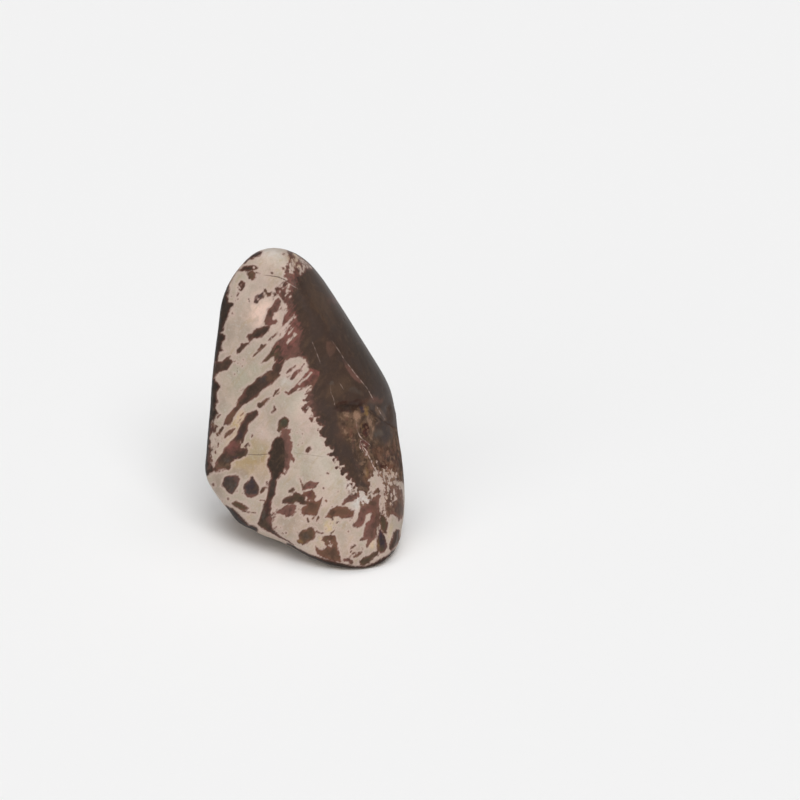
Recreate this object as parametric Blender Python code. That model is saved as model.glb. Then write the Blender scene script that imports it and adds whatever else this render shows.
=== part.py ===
"""A tumbled shodo stone that stands on a small worn flat. One solid, in metres, with +Z up.

Tumbling grinds a broken lump down to a few broad faces with rounded edges between them. The form
is built the same way: every worn face is a plane at its own distance from the core of the stone,
and the planes are blended so that their edges and corners come out rounded. Hollows and a chipped
cheek under a ledge are then pressed into the faces, and the underside is ground to a flat.
"""

import math

import bmesh
import bpy
from mathutils import Vector

MM = 0.001

# The core is the point that every worn face is measured from.
CORE_HEIGHT = 24.6

# The rough lump before it is worn: half sizes of an egg and how far it is raised over the core.
LUMP_HALF_SIZES = (17.0, 15.0, 31.0)
LUMP_LIFT = 5.5
LUMP_DETAIL = 5

# A higher number leaves crisper edges between the worn faces.
EDGE_CRISPNESS = 20

# The shading breaks only at an edge as sharp as the rim of the ground foot, in degrees.
FOOT_EDGE_ANGLE = 35.0

# The average colour of the stone in linear light, and its satin polish.
STONE_COLOUR = (0.29, 0.22, 0.18, 1.0)
POLISH_ROUGHNESS = 0.32

# name: (azimuth, elevation, distance). Azimuth is in degrees from the front towards the right,
# elevation is in degrees above the horizon, and distance is in millimetres from the core.
WORN_FACES = {
    "broad pale front": (-30, 10, 12.6),
    "front swell": (-6, 12, 14.0),
    "dark crest": (28, 15, 16.2),
    "dark right flank": (75, 33, 18.4),
    "rough right cheek": (62, 14, 17.2),
    "left wall": (-93, 6, 19.0),
    "left shoulder": (-104, 27, 26.3),
    "left brow": (-124, 50, 34.7),
    "forehead": (-20, 45, 29.6),
    "crown": (180, 65, 34.9),
    "right brow": (128, 53, 29.3),
    "right slope": (105, 29, 18.3),
    "right side": (93, 6, 18.5),
    "right heel": (85, -11, 24.0),
    "right toe": (60, -44, 36.4),
    "toe lip": (15, -35, 31.5),
    "sole": (0, -90, 25.8),
    "left under-bevel": (-44, -57, 25.2),
    "left lip": (-38, -22, 21.3),
    "left heel": (-73, -32, 23.7),
    "left haunch": (-84, -12, 23.1),
    "broad back": (172, 6, 16.0),
    "back left wall": (-140, 0, 17.5),
    "back right wall": (132, -2, 18.0),
    "back under-bevel": (178, -58, 25.2),
    "left sole bevel": (-100, -60, 24.2),
    "right sole bevel": (100, -60, 29.5),
    "nape": (176, 35, 28.0),
}

# name: (azimuth, elevation, radius, depth) of the shallow dents that tumbling did not reach.
HOLLOWS = {
    "hollow under the crown": (150, 30, 11.0, 0.8),
    "hollow low on the back": (-165, -25, 9.0, 0.9),
    "hollow behind the cheek": (112, -16, 8.0, 0.7),
    "dimple on the left wall": (-112, 4, 6.0, 0.5),
}

# The chipped cheek: where it is, how far it reaches and how deep it is. Its upper end is a ledge,
# which lies in the plane through the core whose normal is given, and is this wide. The lump has a
# finer mesh within an angle of the middle of the cheek.
CHEEK = (64, -2, 11.5, 1.7)
LEDGE_NORMAL = (-155, 60)
LEDGE_WIDTH = 1.2
FINE_MESH_ANGLE = 36.0

# name: (azimuth, elevation, radius, depth) of the pits in the chipped cheek.
CHEEK_PITS = {
    "chip at the end of the ledge": (40, 26, 4.0, 0.8),
    "pit under the ledge": (62, 15, 2.6, 0.5),
    "pit on the ridge": (51, 10, 2.2, 0.5),
    "pit by the edge": (82, 9, 2.6, 0.5),
    "small pit": (68, 2, 1.9, 0.4),
    "low pit": (62, -19, 3.0, 0.6),
    "side pit": (80, -14, 2.2, 0.4),
}


def direction(azimuth, elevation):
    """The unit vector that points that way. Azimuth 0 is the front, which is -Y."""
    turn, rise = math.radians(azimuth), math.radians(elevation)
    return Vector(
        (math.sin(turn) * math.cos(rise), -math.cos(turn) * math.cos(rise), math.sin(rise))
    )


FACE_PLANES = [(direction(azimuth, elevation), far) for azimuth, elevation, far in WORN_FACES.values()]
LEDGE_UP = direction(*LEDGE_NORMAL)


def worn_reach(ray):
    """How far the worn faces lie from the core along a unit ray, in millimetres."""
    total = sum(max(0.0, ray.dot(normal) / far) ** EDGE_CRISPNESS for normal, far in FACE_PLANES)
    return total ** (-1.0 / EDGE_CRISPNESS)


def dent(point, azimuth, elevation, radius, depth):
    """The depth at a point of a round dent with a soft rim."""
    towards = direction(azimuth, elevation)
    middle = towards * worn_reach(towards)
    closeness = max(0.0, 1.0 - (point - middle).length_squared / radius**2)
    return depth * closeness**2


def smooth_step(value):
    value = min(1.0, max(0.0, value))
    return value * value * (3.0 - 2.0 * value)


def pressed_in(point):
    """How far the dents bring the surface in at a point of the worn faces."""
    under_ledge = smooth_step(0.5 - point.dot(LEDGE_UP) / LEDGE_WIDTH)
    cheek = dent(point, *CHEEK) + sum(dent(point, *pit) for pit in CHEEK_PITS.values())
    return cheek * under_ledge + sum(dent(point, *hollow) for hollow in HOLLOWS.values())


def lump_ray(vert):
    """The unit ray from the core through a point of the lump."""
    egg = Vector(side * half for side, half in zip(vert.co, LUMP_HALF_SIZES))
    return (egg + Vector((0.0, 0.0, LUMP_LIFT))).normalized()


def refine_cheek(body):
    """Splits the edges of the lump around the cheek, so that its ledge and pits come out crisp."""
    middle = direction(*CHEEK[:2])
    nearest = math.cos(math.radians(FINE_MESH_ANGLE))
    fine = [edge for edge in body.edges if all(lump_ray(end).dot(middle) > nearest for end in edge.verts)]
    bmesh.ops.subdivide_edges(body, edges=fine, cuts=1, use_grid_fill=True)
    bmesh.ops.triangulate(body, faces=body.faces)


def make_stone():
    body = bmesh.new()
    bmesh.ops.create_icosphere(body, subdivisions=LUMP_DETAIL, radius=1.0)
    refine_cheek(body)
    core = Vector((0.0, 0.0, CORE_HEIGHT))
    for vert in body.verts:
        ray = lump_ray(vert)
        worn = ray * worn_reach(ray)
        vert.co = (core + worn - ray * pressed_in(worn)) * MM
    grind_foot(body)
    centre_over_origin(body)
    mesh = bpy.data.meshes.new("stone")
    body.to_mesh(mesh)
    body.free()
    mesh.shade_smooth()
    mesh.set_sharp_from_angle(angle=math.radians(FOOT_EDGE_ANGLE))
    mesh.materials.append(polished_stone())
    return bpy.data.objects.new("stone", mesh)


def grind_foot(body):
    """Cuts the underside to a plane, which leaves the small flat that the stone rests on."""
    everything = body.verts[:] + body.edges[:] + body.faces[:]
    cut = bmesh.ops.bisect_plane(
        body, geom=everything, plane_co=(0, 0, 0), plane_no=(0, 0, -1), clear_outer=True
    )
    rim = [item for item in cut["geom_cut"] if isinstance(item, bmesh.types.BMEdge)]
    bmesh.ops.contextual_create(body, geom=rim)
    bmesh.ops.recalc_face_normals(body, faces=body.faces)


def centre_over_origin(body):
    """Shifts the stone sideways until the middle of its outline from above is at the origin."""
    low = Vector(min(vert.co[axis] for vert in body.verts) for axis in range(3))
    high = Vector(max(vert.co[axis] for vert in body.verts) for axis in range(3))
    middle = (low + high) / 2
    bmesh.ops.translate(body, verts=body.verts, vec=(-middle.x, -middle.y, 0.0))


def polished_stone():
    """Brown and cream stone with a satin polish, in its average colour."""
    material = bpy.data.materials.new("polished stone")
    material.use_nodes = True
    shader = material.node_tree.nodes["Principled BSDF"]
    shader.inputs["Base Color"].default_value = STONE_COLOUR
    shader.inputs["Roughness"].default_value = POLISH_ROUGHNESS
    shader.inputs["Metallic"].default_value = 0.0
    return material


def clear_scene():
    for old in list(bpy.data.objects):
        bpy.data.objects.remove(old)


clear_scene()
collection = bpy.data.collections.new("shodo stone")
bpy.context.scene.collection.children.link(collection)
collection.objects.link(make_stone())
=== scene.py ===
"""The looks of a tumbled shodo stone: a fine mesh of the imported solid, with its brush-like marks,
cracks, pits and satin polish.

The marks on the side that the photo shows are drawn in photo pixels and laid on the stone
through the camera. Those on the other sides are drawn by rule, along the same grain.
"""

import math
import random

import bmesh
import bpy
import numpy as np
from mathutils import Matrix, Vector, noise
from mathutils.bvhtree import BVHTree


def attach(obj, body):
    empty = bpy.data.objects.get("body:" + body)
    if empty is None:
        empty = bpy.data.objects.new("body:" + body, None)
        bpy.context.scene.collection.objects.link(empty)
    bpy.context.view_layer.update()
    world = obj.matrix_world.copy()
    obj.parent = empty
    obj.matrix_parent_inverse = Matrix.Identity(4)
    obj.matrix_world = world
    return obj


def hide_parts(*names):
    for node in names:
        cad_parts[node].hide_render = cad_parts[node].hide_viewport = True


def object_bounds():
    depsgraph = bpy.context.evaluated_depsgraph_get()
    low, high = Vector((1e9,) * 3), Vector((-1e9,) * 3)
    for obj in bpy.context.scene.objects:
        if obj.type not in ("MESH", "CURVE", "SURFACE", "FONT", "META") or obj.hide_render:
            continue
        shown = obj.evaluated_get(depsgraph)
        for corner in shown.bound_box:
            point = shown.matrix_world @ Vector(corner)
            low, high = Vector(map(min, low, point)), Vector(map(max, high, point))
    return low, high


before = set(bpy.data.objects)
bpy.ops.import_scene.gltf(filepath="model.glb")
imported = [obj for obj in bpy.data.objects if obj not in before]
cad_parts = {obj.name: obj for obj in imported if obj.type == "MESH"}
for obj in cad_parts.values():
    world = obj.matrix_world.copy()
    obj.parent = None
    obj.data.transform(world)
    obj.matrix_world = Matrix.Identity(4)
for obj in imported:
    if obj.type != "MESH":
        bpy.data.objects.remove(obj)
cad_low, cad_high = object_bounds()

MM = 0.001

# The camera stands where the photo was taken from: this high over the horizon and this far from
# the point that the middle of the photo looks at, where one photo pixel covers 0.2 mm.
PHOTO_SIDE = 800
PIXEL = 0.2 * MM
CAMERA_RISE = math.radians(25)
CAMERA_AWAY = 700 * MM
CAMERA_AIM = Vector((18.97, 2.30, 28.22)) * MM
SENSOR_WIDTH = 36.0

RIGHT = Vector((1.0, 0.0, 0.0))
BACK = Vector((0.0, -math.cos(CAMERA_RISE), math.sin(CAMERA_RISE)))
UP = BACK.cross(RIGHT)
CAMERA_PLACE = CAMERA_AIM + BACK * CAMERA_AWAY

# Colours of the stone, in 8-bit sRGB. "black" serves only as painted shade, and "shade" partly as painted shade.
PAINTS = {
    "cream": (184, 168, 153), "bright cream": (201, 187, 173), "peach": (208, 184, 169), "bright peach": (234, 203, 187),
    "pink cream": (203, 178, 167), "dull cream": (172, 153, 138), "green cream": (176, 167, 148),
    "sand": (172, 147, 109), "honey": (214, 183, 130), "chalk": (208, 201, 194),
    "shade": (140, 122, 108), "soot": (58, 48, 41), "umber": (77, 60, 52), "bark": (105, 82, 65),
    "plum": (119, 85, 77), "rose": (140, 88, 81), "rust brown": (118, 85, 68),
    "brick": (129, 92, 83), "olive": (88, 74, 56), "moss": (92, 94, 74), "slate": (74, 67, 66),
    "indigo": (60, 50, 60), "wine": (104, 58, 60), "ochre": (150, 118, 74),
    "black": (26, 22, 21), "russet": (124, 80, 70), "scar": (106, 78, 67), "dark rust": (60, 28, 22),
    "umber shade": (68, 57, 53), "pewter": (100, 91, 84), "rust": (66, 47, 36), "clay": (156, 124, 102),
}

# Outlines of marks on the seen side, in photo pixels, as (paint, corners). Later ones cover
# earlier ones. A few, along the rims and under the ledge, are painted shade in whole or in part, as noted at each.
PATCHES = {
    "fringe of the dark side": ("plum", [
        (286, 248), (288, 254), (288.6, 260), (286.2, 264.5), (284.8, 270.5), (283.3, 277),
        (286, 279.5), (282, 283.3), (281, 286.8), (276.5, 286), (275.3, 289.5), (275.6, 292.5),
        (273.3, 294.7), (274.5, 296.5), (279, 296.3), (281.5, 299.5), (284.5, 303), (286.5, 306.5),
        (286.1, 310), (284.2, 315.8), (282.9, 320.3), (281.6, 326), (279.7, 331), (279, 335),
        (277, 341), (272.1, 344.7), (271.5, 349.5), (273.3, 356.8), (274, 362), (280, 364),
        (285.5, 361.3), (291.2, 358.4), (300, 356.8), (305, 360), (312, 350), (310, 335),
        (307, 325), (303, 312), (300, 300), (301, 288), (305, 276), (322, 268), (305, 252),
    ]),
    "dark side": ("umber", [
        (322, 262), (308, 268), (303.5, 271.5), (299, 275), (296.5, 275.6), (297.8, 280.7),
        (295.5, 287.5), (290, 293.5), (291.5, 299), (293.3, 303), (294.6, 312), (297, 318),
        (300.3, 325), (303.5, 330.5), (301, 336), (299, 345), (300.5, 352), (304.7, 357),
        (306, 362), (308, 367.6), (311, 371.5), (316.5, 374), (317, 377), (314.5, 381),
        (312.5, 384), (311, 389.3), (305.6, 393.8), (309.5, 395.5), (307.2, 397.6), (304.7, 400.8),
        (308.5, 402), (304.5, 405), (301.2, 407.8), (305.3, 406.6), (308.5, 406.2), (306, 409),
        (303.7, 411), (306.9, 411.6), (311.7, 408.4), (310.4, 412.3), (312.3, 414.8),
        (309.1, 418.9), (310.4, 420.9), (315.5, 418.3), (318.5, 417.2), (315.5, 421.4),
        (316.1, 424.2), (317.8, 424.6), (323.8, 422.3), (318.7, 426), (323.2, 427.3),
        (317.4, 430.2), (320, 432.5), (320.9, 435), (323.8, 437), (325.1, 438.6), (324.4, 443.7),
        (322.8, 449.1), (325.7, 448.2), (328.6, 446.9), (333.4, 448.8), (332.1, 451.4),
        (327.6, 454.9), (329.5, 455.8), (333.4, 456.1), (334, 459.3), (336.6, 459),
        (334.3, 462.5), (337.5, 462.3), (338.5, 463.5), (336.2, 467.6), (340.1, 467),
        (342.3, 464.4), (344.2, 466), (341, 474.3), (342.9, 475.6), (345.5, 473), (347.4, 474.3),
        (346.4, 478.8), (349.3, 480.1), (353.8, 482.6), (356.3, 487.1), (358.9, 488.3),
        (362.1, 491.5), (366.5, 493.4), (368.4, 490.3), (369.7, 485.2), (371, 478.8),
        (372.9, 472.4), (371, 467.3), (420, 470), (440, 400), (400, 320), (340, 260),
    ]),
    "chipped cheek": ("bark", [
        (337, 409), (346, 412), (356, 409), (362, 404), (367, 405), (372, 413), (380, 419),
        (391, 426), (420, 440), (430, 500), (402, 482), (396, 480), (390, 470), (386, 474), (383, 479),
        (379, 474), (372.9, 470), (370, 480), (366, 484), (360, 478), (356, 464), (352, 450),
        (344, 436), (338, 424),
    ]),
    "crown smear": ("slate", [
        (254, 251.8), (257, 250.6), (262.8, 251.4), (261.5, 254.5), (257, 257), (252.5, 258),
        (249, 260), (246, 263.2), (243, 264.5), (240, 262), (246, 254),
    ]),
    "crown bar": ("soot", [
        (236, 271.5), (241, 267.9), (243.4, 265.7), (252.3, 265.1), (255.6, 265.3), (257.9, 268.3),
        (255.5, 270.2), (251, 270.7), (244, 271.4),
    ]),
    "crown oval": ("bark", [
        (248.5, 271.5), (252, 270.2), (255.3, 272.3), (256.3, 277), (254.3, 280.3), (251.5, 280.5),
        (248.3, 278.3), (247.2, 274.5),
    ]),
    "blue eye": ("slate", [
        (254.2, 304), (253.6, 301.1), (254.8, 296.7), (257.4, 294.1), (261.2, 292.8),
        (262.8, 291.6), (263.8, 293.5), (263.8, 297), (260, 300.5), (256.8, 303.4),
    ]),
    "blue eye's neighbour": ("bark", [
        (263.8, 289), (266.3, 289.6), (267.6, 292.2), (270.8, 291.9), (271.7, 294.7),
        (270.2, 296.3), (267, 296.7), (265.7, 295.4), (266.3, 293.2), (264.4, 291.9),
    ]),
    "leaf": ("plum", [
        (279, 297.5), (275.9, 299.2), (273.3, 303), (272, 306.2), (267.6, 309.4), (267, 312.6),
        (265.7, 315.8), (264, 321.5), (265, 325), (270.2, 326.4), (275.9, 324.1), (277.8, 321.5),
        (276.5, 318.7), (273.3, 319.6), (272, 319), (274.3, 315.8), (274.3, 313.2),
        (276.5, 312.6), (279, 308.8), (280.4, 305.6), (281.5, 301.5),
    ]),
    "stroke under the leaf": ("umber", [
        (268.9, 325.4), (264.4, 326), (260, 327.3), (256.1, 328.5), (253.9, 330.5), (251, 333),
        (247.8, 334.3), (246.2, 336.8), (247.5, 338.8), (247.8, 340.7), (249.1, 341.9),
        (251, 340.7), (252.9, 338.4), (257.4, 338.8), (260.6, 337.5), (263.8, 334.9),
        (266.3, 333), (268.9, 330.5), (270.8, 327.3),
    ]),
    "short stroke": ("umber", [
        (249.7, 342.4), (244.6, 342.8), (240.8, 343.7), (240.2, 346.6), (236.4, 349.8),
        (236.7, 354.2), (239.5, 353), (243.4, 349.1), (247.2, 345.6),
    ]),
    "hooked stroke": ("olive", [
        (278.4, 344.5), (276.5, 344), (272.1, 344.7), (272.1, 349.1), (269.5, 353),
        (263.8, 358.7), (260.3, 363.5), (267, 361.6), (270.8, 358.1), (273.3, 356.8), (276, 357.5),
        (281, 353), (281, 347),
    ]),
    "long stroke": ("umber", [
        (274, 360), (274.3, 363.2), (272.7, 365.7), (272.1, 370.2), (267.6, 371.1), (263.8, 374),
        (256.8, 378.5), (254.2, 381.7), (247.2, 386.1), (244, 389.3), (242.1, 394.4),
        (238.3, 398.9), (235.7, 405.9), (231.9, 409.7), (226.8, 414.8), (224.9, 419.3),
        (223.6, 425), (228.1, 425.3), (230.6, 423.8), (233.8, 418), (237, 412.3), (238.9, 410.4),
        (243.4, 405.3), (249.7, 401.4), (257.4, 396.3), (262.5, 390.6), (270.8, 384.9),
        (276.5, 379.7), (281, 375.6), (279.4, 373.4), (282.3, 367), (285.5, 361.3), (282, 357),
        (277, 356),
    ]),
    "short thick stroke": ("bark", [
        (270.8, 397), (265.7, 398.2), (262.5, 401.4), (258, 403.3), (257.1, 406.5),
        (260.6, 408.1), (263.8, 405.9), (267.6, 401.4),
    ]),
    "edge stroke": ("umber", [
        (205, 362), (221, 361.3), (225.5, 358), (230, 355.2), (231.3, 356.1), (228.7, 359.3),
        (231.3, 359.3), (233.2, 361.3), (231.3, 363.5), (228.7, 368.3), (226.8, 369.9),
        (222.3, 371.1), (219.1, 372.1), (216.6, 375.9), (215, 379.1), (205, 380),
    ]),
    # The upper and lower edge bands are partly dark marks and partly painted shade, where the left side turns away
    # from the light.
    "upper edge": ("soot", [
        (241.2, 262), (230.8, 285), (229.9, 290.9), (228.6, 296), (229.2, 302.4), (231.8, 302.7),
        (233.7, 303.7), (233.1, 306.2), (230.5, 308.8), (229.2, 312.6), (228.6, 316.4),
        (225.4, 320.3), (224.2, 325.4), (223.8, 330.5), (221, 333), (225.8, 335.1),
        (224.8, 339.6), (222.2, 342.8), (222.2, 348.5), (223.5, 350.4), (219.7, 352.3),
        (218.4, 355.5), (217.8, 362), (200, 362), (210, 290), (233.2, 262),
    ]),
    # Partly dark marks, partly painted shade along the left edge.
    "lower edge": ("soot", [
        (215.4, 378), (216.1, 381), (218.6, 382.9), (220.5, 387.4), (218.6, 389.6), (216.7, 393.1),
        (216.7, 397.6), (218.6, 402.1), (216.1, 404), (215.7, 407.8), (218.3, 413.5),
        (215.4, 418), (214.2, 422), (211, 424.6), (216.7, 429), (215.4, 432.9), (212.2, 433.5),
        (209.7, 437.3), (211, 443), (209.4, 445.6), (213, 450.1), (210.6, 453.3),
        (211.5, 458.4), (211, 462.2), (213, 466), (214.8, 467.9), (213.6, 471.1),
        (209.7, 475.3), (195, 475), (190, 378),
    ]),
    "bent stroke": ("umber", [
        (256.1, 409.7), (251, 411.6), (247.2, 413.5), (244.6, 417.4), (240.8, 422.5),
        (239.5, 426.5), (237, 432.9), (233.8, 438), (230, 441.8), (224.9, 447.5), (221.7, 453.3),
        (219.1, 456.5), (214.7, 462.2), (212.8, 469.2), (215.3, 471.8), (219.1, 469.2),
        (224.9, 468.6), (227.4, 470.2), (229.3, 469.8), (231.6, 465.4), (230.6, 464.1),
        (235.7, 459.6), (242.1, 457.7), (245.9, 455.8), (247.8, 450.7), (247.2, 448.2),
        (244, 447.8), (240.8, 448.2), (240.2, 447.5), (244, 440.5), (245.3, 434.8),
        (247.8, 430.9), (247.8, 427.8), (249.1, 423.9), (254.8, 418.8), (258.7, 414.2),
        (258.4, 411.6),
    ]),
    # Painted shade: soot along the underside, where the stone curves under towards the floor.
    "painted shade on the underside": ("soot", [
        (286, 544.5), (300, 550.5), (310, 554.5), (325.3, 558.8), (341.9, 563.2), (354.6, 566.2),
        (364.8, 566), (373.8, 562.6), (386.5, 555.6), (395.5, 548), (402, 539), (400, 560), (380, 580),
        (330, 580), (280, 560),
    ]),
    "grey lozenge": ("slate", [
        (226.1, 475.6), (235.7, 474.6), (238.3, 475.3), (240, 478.8), (238.3, 485.2),
        (235.1, 491.5), (231.9, 494.4), (228.7, 493.1), (225.5, 489), (221.7, 486.4),
        (222.6, 482), (223.3, 478.8),
    ]),
    "dark drop": ("slate", [
        (252.3, 475.9), (254.2, 478.1), (256.1, 482), (258.7, 487.1), (259, 494.4),
        (256.1, 496.6), (251.7, 498.2), (247.2, 497.3), (244.6, 494.1), (243.4, 488.3),
        (244.6, 483.9), (249.1, 479.4), (250.4, 476.9),
    ]),
    "lower left dash": ("olive", [
        (231.9, 502.4), (235.7, 501.1), (240.2, 502.4), (245.3, 504.9), (249.1, 508.4),
        (244.6, 510.7), (239.5, 510), (235.7, 507.5), (232.5, 504.9),
    ]),
    # Partly a dark mark and partly painted shade, where the lower left rim turns under.
    "lower left rim": ("slate", [
        (226, 505), (230, 507.4), (233.8, 508.7), (237.7, 511.3), (242.8, 516.4), (247.2, 520.8),
        (249.1, 524), (253.6, 525.3), (257.4, 527.2), (258.1, 530.4), (250, 540), (225, 520),
    ]),
    "green oval": ("olive", [
        (282.3, 417.6), (284.8, 416.3), (288.3, 418.2), (289.3, 420.7), (288.3, 425.2),
        (287.4, 427.8), (283.5, 428.7), (281, 430.9), (279.1, 432.9), (277.2, 430.9),
        (277.5, 425.2), (279.1, 420.1),
    ]),
    "brown side of the tall mark": ("brick", [
        (282.3, 429.7), (285.5, 428.1), (290.6, 429), (290.9, 432.9), (289.5, 434.5),
        (291.2, 438.6), (289.9, 440.5), (292.8, 442.4), (292.5, 446.9), (291.2, 452),
        (293.8, 456.5), (295.3, 459), (293.8, 462.5), (291.2, 459.6), (289.3, 463.5),
        (289.9, 467.3), (287.4, 471.8), (284.5, 475), (282.3, 474.3), (278, 474), (278, 440),
    ]),
    "tall mark": ("soot", [
        (279.7, 436.4), (275.9, 437), (273.3, 440.5), (271.4, 444.3), (271.1, 449.4),
        (267.6, 452.6), (267.6, 454.2), (269.8, 455.2), (269.5, 457.1), (266.3, 459.5),
        (266.3, 465.5), (268.9, 469.8), (270.2, 473), (271.1, 476.2), (270.2, 478.8),
        (268.9, 480.7), (268.6, 487.1), (267, 494.7), (265.7, 499.8), (263.8, 504.3),
        (261.9, 511), (259.3, 518.3), (256.8, 524), (261.9, 528.5), (268.3, 532.3),
        (274.6, 536.8), (281, 540.6), (287.4, 543.8), (293.8, 546.5), (293, 544.5),
        (284.2, 539.3), (277.8, 534.8), (273.4, 529.7), (271.8, 524), (272.1, 518.3),
        (270.8, 511.9), (271.8, 505), (272.8, 499), (275.6, 494.1), (275.9, 488.3),
        (277.5, 480.1), (280.5, 474.5), (284, 470), (284.5, 458), (284, 446), (282.5, 439),
    ]),
    "upper petal": ("brick", [
        (302.1, 490.8), (301.4, 487), (306.5, 482.6), (311.6, 481), (316.1, 481.9),
        (319, 482.2), (317.4, 485.1), (314.8, 488.3), (309.7, 488.9), (305.9, 490.2),
    ]),
    "lower left petal": ("brick", [
        (277.2, 510.6), (281, 508.7), (285.5, 505.5), (293.8, 504.1), (296.3, 505.5),
        (295.7, 508.7), (294.4, 511.3), (296.6, 511.9), (292.5, 515.7), (288.7, 516.7),
        (284.8, 518), (284.2, 515.1), (279.7, 514.4), (275.9, 513.2),
    ]),
    "right petal": ("rust brown", [
        (303.3, 492.1), (308.4, 490.8), (312.3, 489.9), (314.8, 492.8), (316.1, 496.6),
        (314.2, 500.4), (316.1, 501), (319.3, 499.8), (322.8, 497.2), (321.2, 502.3),
        (319.9, 507.4), (318.6, 512.5), (316.1, 515.7), (309.1, 515.4), (305.3, 515.1),
        (303, 517), (300.8, 510.6), (302.7, 507.4), (305.9, 504.9), (302.1, 505.2), (300, 500),
    ]),
    "heart of the petals": ("umber", [
        (282.3, 503.6), (282.9, 499.8), (285.5, 497.2), (289.3, 495.9), (292.2, 495.3),
        (293.1, 492.8), (296.3, 491.8), (300.2, 493.4), (305, 496), (306, 502), (302.1, 505.2),
        (299.5, 503.6), (297.6, 502), (296.3, 502.3), (293.8, 504.2), (291.2, 504.6),
        (286.1, 503.6),
    ]),
    "low rosette": ("bark", [
        (298.2, 535.5), (302.1, 530.4), (306.5, 529.1), (309.7, 526.6), (312.9, 527.8),
        (314.8, 530.4), (316.1, 535.5), (313.6, 539.9), (309.1, 541.2), (306.5, 543.8),
        (302.1, 545.1), (297.6, 543.1), (295.7, 539.9), (299, 539),
    ]),
    "bird": ("rust brown", [
        (324.3, 517.9), (329.1, 511.9), (332.3, 508.1), (337.4, 505.8), (341.3, 506.1),
        (345.7, 506.1), (348.3, 508.1), (351.5, 510.6), (355, 510), (354, 515.7),
        (350.8, 517.6), (345.7, 518.3), (341.9, 518.6), (338.1, 516.7), (335.5, 516.4),
        (332.3, 518.3),
    ]),
    "wing over the bird": ("plum", [
        (341.6, 503.6), (344.4, 499.8), (348.3, 495.9), (353.4, 492.8), (357.2, 492.1),
        (361, 492.8), (359.7, 496.6), (355.9, 499.8), (352.1, 501.7), (348.3, 502.3),
        (344.4, 504.9), (342.2, 505.2),
    ]),
    "red brown hand": ("brick", [
        (377, 494.5), (372.8, 497.8), (366.8, 502.4), (361.4, 506.8), (358.8, 512.4),
        (357.8, 518.9), (352.1, 525.3), (352.7, 527.2), (357.2, 527.2), (357.2, 529.4),
        (361, 526.6), (364.8, 521.5), (366.1, 515.7), (368, 513.8), (371.9, 513.2),
        (370, 519.5), (365.5, 523.4), (364.2, 530.4), (363.6, 534.8), (359.7, 540.6),
        (364.8, 540.6), (367.4, 539.3), (365.5, 547), (367.4, 547.6), (370.6, 543.8),
        (374.4, 539.9), (376.3, 537.4), (377, 528.5), (379.5, 524.6), (380.2, 515.7),
        (379.5, 505.5), (379.5, 500.4), (380.8, 495.3), (378, 493.8),
    ]),
    "blue black blade": ("indigo", [
        (378.9, 527.2), (377.6, 534.2), (376.3, 541.2), (377.6, 547.6), (380.2, 554),
        (384.6, 552.7), (387.2, 545.7), (385.9, 539.9), (384, 533.6), (381.4, 529.7),
    ]),
    "brown by the right edge": ("rust brown", [
        (384, 482.6), (386.5, 481.9), (390.4, 485.1), (394.8, 483.7), (398.6, 485.6),
        (402.4, 490.2), (402.8, 496), (404.4, 500.5), (405.2, 508), (404.4, 515), (401.5, 519),
        (398.7, 521.5), (397.4, 517.6), (394.2, 515.7), (392.3, 513.8), (389.1, 517.6),
        (386.5, 515.7), (385.9, 508.1), (384, 508.1), (383.3, 501), (385, 494),
    ]),
    "oval by the right edge": ("umber", [
        (399.2, 530), (396.1, 528.9), (392.8, 533.4), (390, 540.8), (388.4, 549.5),
        (392, 550.8), (396.6, 544.6), (399.2, 538),
    ]),
    "toe stroke": ("olive", [
        (359.5, 561), (363, 557.6), (368.7, 555.2), (373, 552.6), (377, 551.8), (376.4, 555.2),
        (373, 559.4), (368.5, 563.4), (364, 566), (360, 566),
    ]),
    "brown by the lip": ("rust brown", [
        (325.9, 535.5), (331, 534.8), (335.5, 535.5), (336.8, 539.9), (338.1, 547), (340, 554),
        (341.3, 558.4), (340.6, 562.3), (335.5, 562), (327.9, 559.5), (320.2, 556.5),
        (315.7, 552.8), (315.1, 544.4), (318.3, 548.9), (322.8, 550.2), (325.9, 546.3),
        (324.7, 542.5), (321.5, 540.6), (322.1, 537.4),
    ]),
    "head of the scar": ("scar", [
        (327, 342), (331, 341), (335, 344), (336.5, 348), (333.5, 353), (329.8, 356.8),
        (327.2, 352), (326.4, 346),
    ]),
    "scar": ("brick", [
        (343, 359.5), (347, 364), (352, 369.5), (357.5, 376), (362, 382.5), (359.5, 382.5),
        (355, 379.5), (351, 375), (348, 370.5), (345, 365),
    ]),
    # Red-brown in the groove under the ledge, darkened partly as painted shade of the recess.
    "mouth under the ledge": ("dark rust", [
        (334.5, 406), (339, 402.4), (346, 401), (352, 402), (357.5, 399), (363, 401),
        (369, 399), (366, 403), (360, 406.5), (355, 410.5), (347, 412), (341, 411.5), (336, 410),
    ]),
    "tan under the mouth": ("clay", [
        (343, 412.3), (352, 413), (358.5, 412.5), (362, 417), (359.5, 422), (353, 418), (345, 416),
    ]),
    "tan strip": ("clay", [
        (367.5, 414.5), (371, 416.5), (374.2, 424), (374, 432), (373, 440), (369.6, 437),
        (370.5, 428), (367.5, 420),
    ]),
    "tan over the crease": ("clay", [
        (376, 406.5), (380, 408.5), (384, 414.5), (386.3, 420), (382, 419.5), (378, 414.5),
        (375.8, 410.5),
    ]),
    "ochre spot": ("ochre", [(365, 408.5), (368.4, 407), (369.5, 411), (367.5, 415.6), (364.8, 413)]),
    "blue spot": ("indigo", [(361, 406.8), (364.6, 407.4), (364.6, 412), (361.5, 412.4)]),
    "red pit": ("dark rust", [
        (362.3, 423), (366.5, 423.6), (369.5, 428), (369.7, 433.5), (366.5, 437.4), (363, 435),
        (361, 428.5),
    ]),
    "wine spot": ("wine", [
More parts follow.
